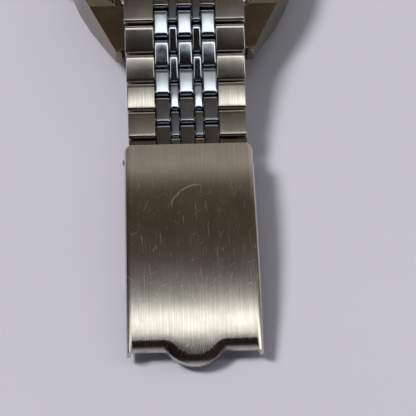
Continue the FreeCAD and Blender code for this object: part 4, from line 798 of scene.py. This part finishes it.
class WATCH_OT_movement(bpy.types.Operator):
    """Finish the dial, hands and movement, and add the minute track and the hairspring"""
    bl_idname = "watch.movement"
    bl_label = "Dial and movement"

    def execute(self, context):
        look = context.scene.watch_look
        dress(["dial"], lacquered_dial(look))
        hands = buffed_steel("polished_steel_hands", srgb("#DDDAD6"), srgb("#C4C0BB"), rough=0.06)
        dress(["hour_hand", "minute_hand", "second_hand", "clutch_pinion"], hands)
        brass = turned_steel("grained_gilt_brass", srgb("#D9BE86"), srgb("#B0925A"), rough=0.28, ring_mm=0.12)
        dress(["movement_plate", "mainspring_barrel", "balance_wheel"], brass)
        tungsten = turned_steel("grained_tungsten_rotor", srgb("#B9B7B5"), srgb("#8A8886"), rough=0.3, ring_mm=0.18)
        dress(["rotor"], tungsten)
        low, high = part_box("balance_wheel")
        middle = centre("balance_wheel")
        reach = (high[0] - low[0]) / 2
        blued = drawn_steel("blued_spring_steel", srgb("#4C66A8"), srgb("#2A3A6E"), rough=0.2, streak_mm=0.2,
                            run_mm=1.0, relief_um=2.0)[0]
        height = HAIRSPRING["height"] * MM
        spring = spiral_ribbon((middle.x, middle.y, high[2] - height), reach * HAIRSPRING["inner_share"],
                               reach * HAIRSPRING["outer_share"], look.hairspring_turns, look.hairspring_width, height)
        mesh_piece("hairspring", [spring], "balance_wheel", blued)
        dial_low, dial_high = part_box("dial")
        reach = (dial_high[0] - dial_low[0]) / 2
        paint = moulded("printed_white_ink", srgb("#E8E6E0"), rough=0.45, ior=1.5, grain_mm=0.1)
        foot = dial_low[2] + DIAL["plate"] * MM - DIAL["tick_sunk"] * MM
        track = ticks_round((0.0, 0.0, foot), reach - DIAL["track_inner"] * MM, reach - DIAL["track_outer"] * MM,
                            DIAL["tick_width"] * MM, DIAL["tick_height"] * MM, DIAL["ticks"], DIAL["ticks_per_marker"])
        mesh_piece("minute_track", [track], "head", paint)
        return {"FINISHED"}


class WATCH_OT_stage(bpy.types.Operator):
    """Lay the pale floor and set the room, the lamps and the camera"""
    bl_idname = "watch.stage"
    bl_label = "Stage"

    def execute(self, context):
        scene, stage = context.scene, context.scene.watch_stage
        self.floor(scene, stage)
        self.room(scene, stage)
        self.lamps(scene, stage)
        self.camera(scene, stage)
        scene.view_settings.view_transform = "Standard"
        return {"FINISHED"}

    def floor(self, scene, stage):
        """A flat sheet of matt board under the crystal, with a faint mottle about 25 mm across."""
        half = stage.floor_size / 2
        corners = np.array([[-half, -half, 0], [half, -half, 0], [half, half, 0], [-half, half, 0]])
        mesh = bpy.data.meshes.new("floor")
        mesh.from_pydata(corners.tolist(), [], [[0, 1, 2, 3]])
        sheet = bpy.data.objects.new("floor", mesh)
        scene.collection.objects.link(sheet)
        material, tree, place = blank_material("matt_painted_board")
        mottle = add_node(tree, "ShaderNodeTexNoise", {"Scale": 40.0, "Detail": 3.0}, {"Vector": place})
        tone = add_node(tree, "ShaderNodeMix", {"data_type": "RGBA", 6: opaque(stage.floor_colour, 0.965),
                                                7: opaque(stage.floor_colour)}, {0: mottle})
        board = add_node(tree, "ShaderNodeBsdfPrincipled", {"Roughness": 0.75, "Specular IOR Level": 0.2},
                         {"Base Color": tone.outputs[2]})
        add_node(tree, "ShaderNodeOutputMaterial", None, {0: board})
        mesh.materials.append(material)

    def room(self, scene, stage):
        """A room that only the metal shows: a bright strip overhead, dark in front of it, brown and grey behind.

        It is a little darker to the left. The camera itself sees a plain pale backdrop past the floor.
        """
        world = bpy.data.worlds.new("room")
        world.use_nodes = True
        scene.world = world
        tree = world.node_tree
        tree.nodes.clear()
        way = add_node(tree, "ShaderNodeTexCoord").outputs["Generated"]
        parts = add_node(tree, "ShaderNodeSeparateXYZ", None, {0: way})
        along = add_node(tree, "ShaderNodeMapRange", {"From Min": -1.0, "From Max": 1.0}, {"Value": parts.outputs[1]})
        ramp = add_node(tree, "ShaderNodeValToRGB", None, {0: along})
        colour_steps(ramp, ROOM)
        aside = add_node(tree, "ShaderNodeMapRange", {"From Min": -1.0, "From Max": 1.0, "To Min": 0.5, "To Max": 1.5},
                         {"Value": parts})
        level = add_node(tree, "ShaderNodeMath", {"operation": "MULTIPLY", 1: stage.sky_level}, {0: aside})
        seen = add_node(tree, "ShaderNodeBackground", {"Color": srgb("#EDEBF0"), "Strength": 1.0})
        lit = add_node(tree, "ShaderNodeBackground", None, {"Color": ramp, "Strength": level})
        ray = add_node(tree, "ShaderNodeLightPath")
        mixed = add_node(tree, "ShaderNodeMixShader", None, {0: ray.outputs["Is Camera Ray"], 1: lit, 2: seen})
        add_node(tree, "ShaderNodeOutputWorld", None, {0: mixed})

    def lamps(self, scene, stage):
        """A wide soft sun from the upper left and a weak lamp in front, both aimed at the clasp."""
        aim = Vector(stage.view_aim)
        key = bpy.data.lights.new("key_lamp", "SUN")
        key.angle, key.energy, key.color = stage.key_angle, stage.key_strength, srgb(KEY_TINT)[:3]
        fill = bpy.data.lights.new("fill_lamp", "AREA")
        fill.shape, fill.size, fill.energy, fill.color = "SQUARE", FILL_SIZE, stage.fill_power, srgb(FILL_TINT)[:3]
        for data, way in ((key, Vector(KEY_WAY)), (fill, Vector(FILL_WAY))):
            lamp = bpy.data.objects.new(data.name, data)
            lamp.location = aim + way
            lamp.visible_glossy = False
            lamp.rotation_euler = (-way).to_track_quat("-Z", "Y").to_euler()
            scene.collection.objects.link(lamp)

    def camera(self, scene, stage):
        """Look at the clasp from in front and above."""
        back = Vector((math.sin(stage.view_azimuth) * math.cos(stage.view_elevation),
                       -math.cos(stage.view_azimuth) * math.cos(stage.view_elevation), math.sin(stage.view_elevation)))
        data = bpy.data.cameras.new("camera")
        data.lens, data.sensor_width, data.clip_start = stage.view_lens, 36.0, 0.005
        eye = bpy.data.objects.new("camera", data)
        look = back.to_track_quat("Z", "Y").to_matrix().to_4x4()
        eye.matrix_world = Matrix.Translation(Vector(stage.view_aim) + back * stage.view_distance) @ look @ \
            Matrix.Rotation(stage.view_roll, 4, "Z")
        scene.collection.objects.link(eye)
        scene.camera = eye


class WATCH_PT_panel(bpy.types.Panel):
    """Sidebar panel with the watch's settings and steps"""
    bl_idname = "WATCH_PT_panel"
    bl_label = "Wristwatch"
    bl_space_type = "VIEW_3D"
    bl_region_type = "UI"
    bl_category = "Wristwatch"

    def draw(self, context):
        for group in (context.scene.watch_look, context.scene.watch_stage):
            for name in group.__annotations__:
                self.layout.prop(group, name)
        for step in STEPS:
            self.layout.operator(step.bl_idname)


STEPS = (WATCH_OT_stage, WATCH_OT_bracelet, WATCH_OT_clasp, WATCH_OT_head, WATCH_OT_movement)
CLASSES = (WatchLookSettings, WatchStageSettings, *STEPS, WATCH_PT_panel)


def register():
    for item in CLASSES:
        bpy.utils.register_class(item)
    bpy.types.Scene.watch_look = PointerProperty(type=WatchLookSettings)
    bpy.types.Scene.watch_stage = PointerProperty(type=WatchStageSettings)


def unregister():
    del bpy.types.Scene.watch_look
    del bpy.types.Scene.watch_stage
    for item in reversed(CLASSES):
        bpy.utils.unregister_class(item)


def main():
    """Run every step in order."""
    register()
    bpy.ops.watch.stage()
    bpy.ops.watch.bracelet()
    bpy.ops.watch.clasp()
    bpy.ops.watch.head()
    bpy.ops.watch.movement()


if __name__ == "__main__":
    main()
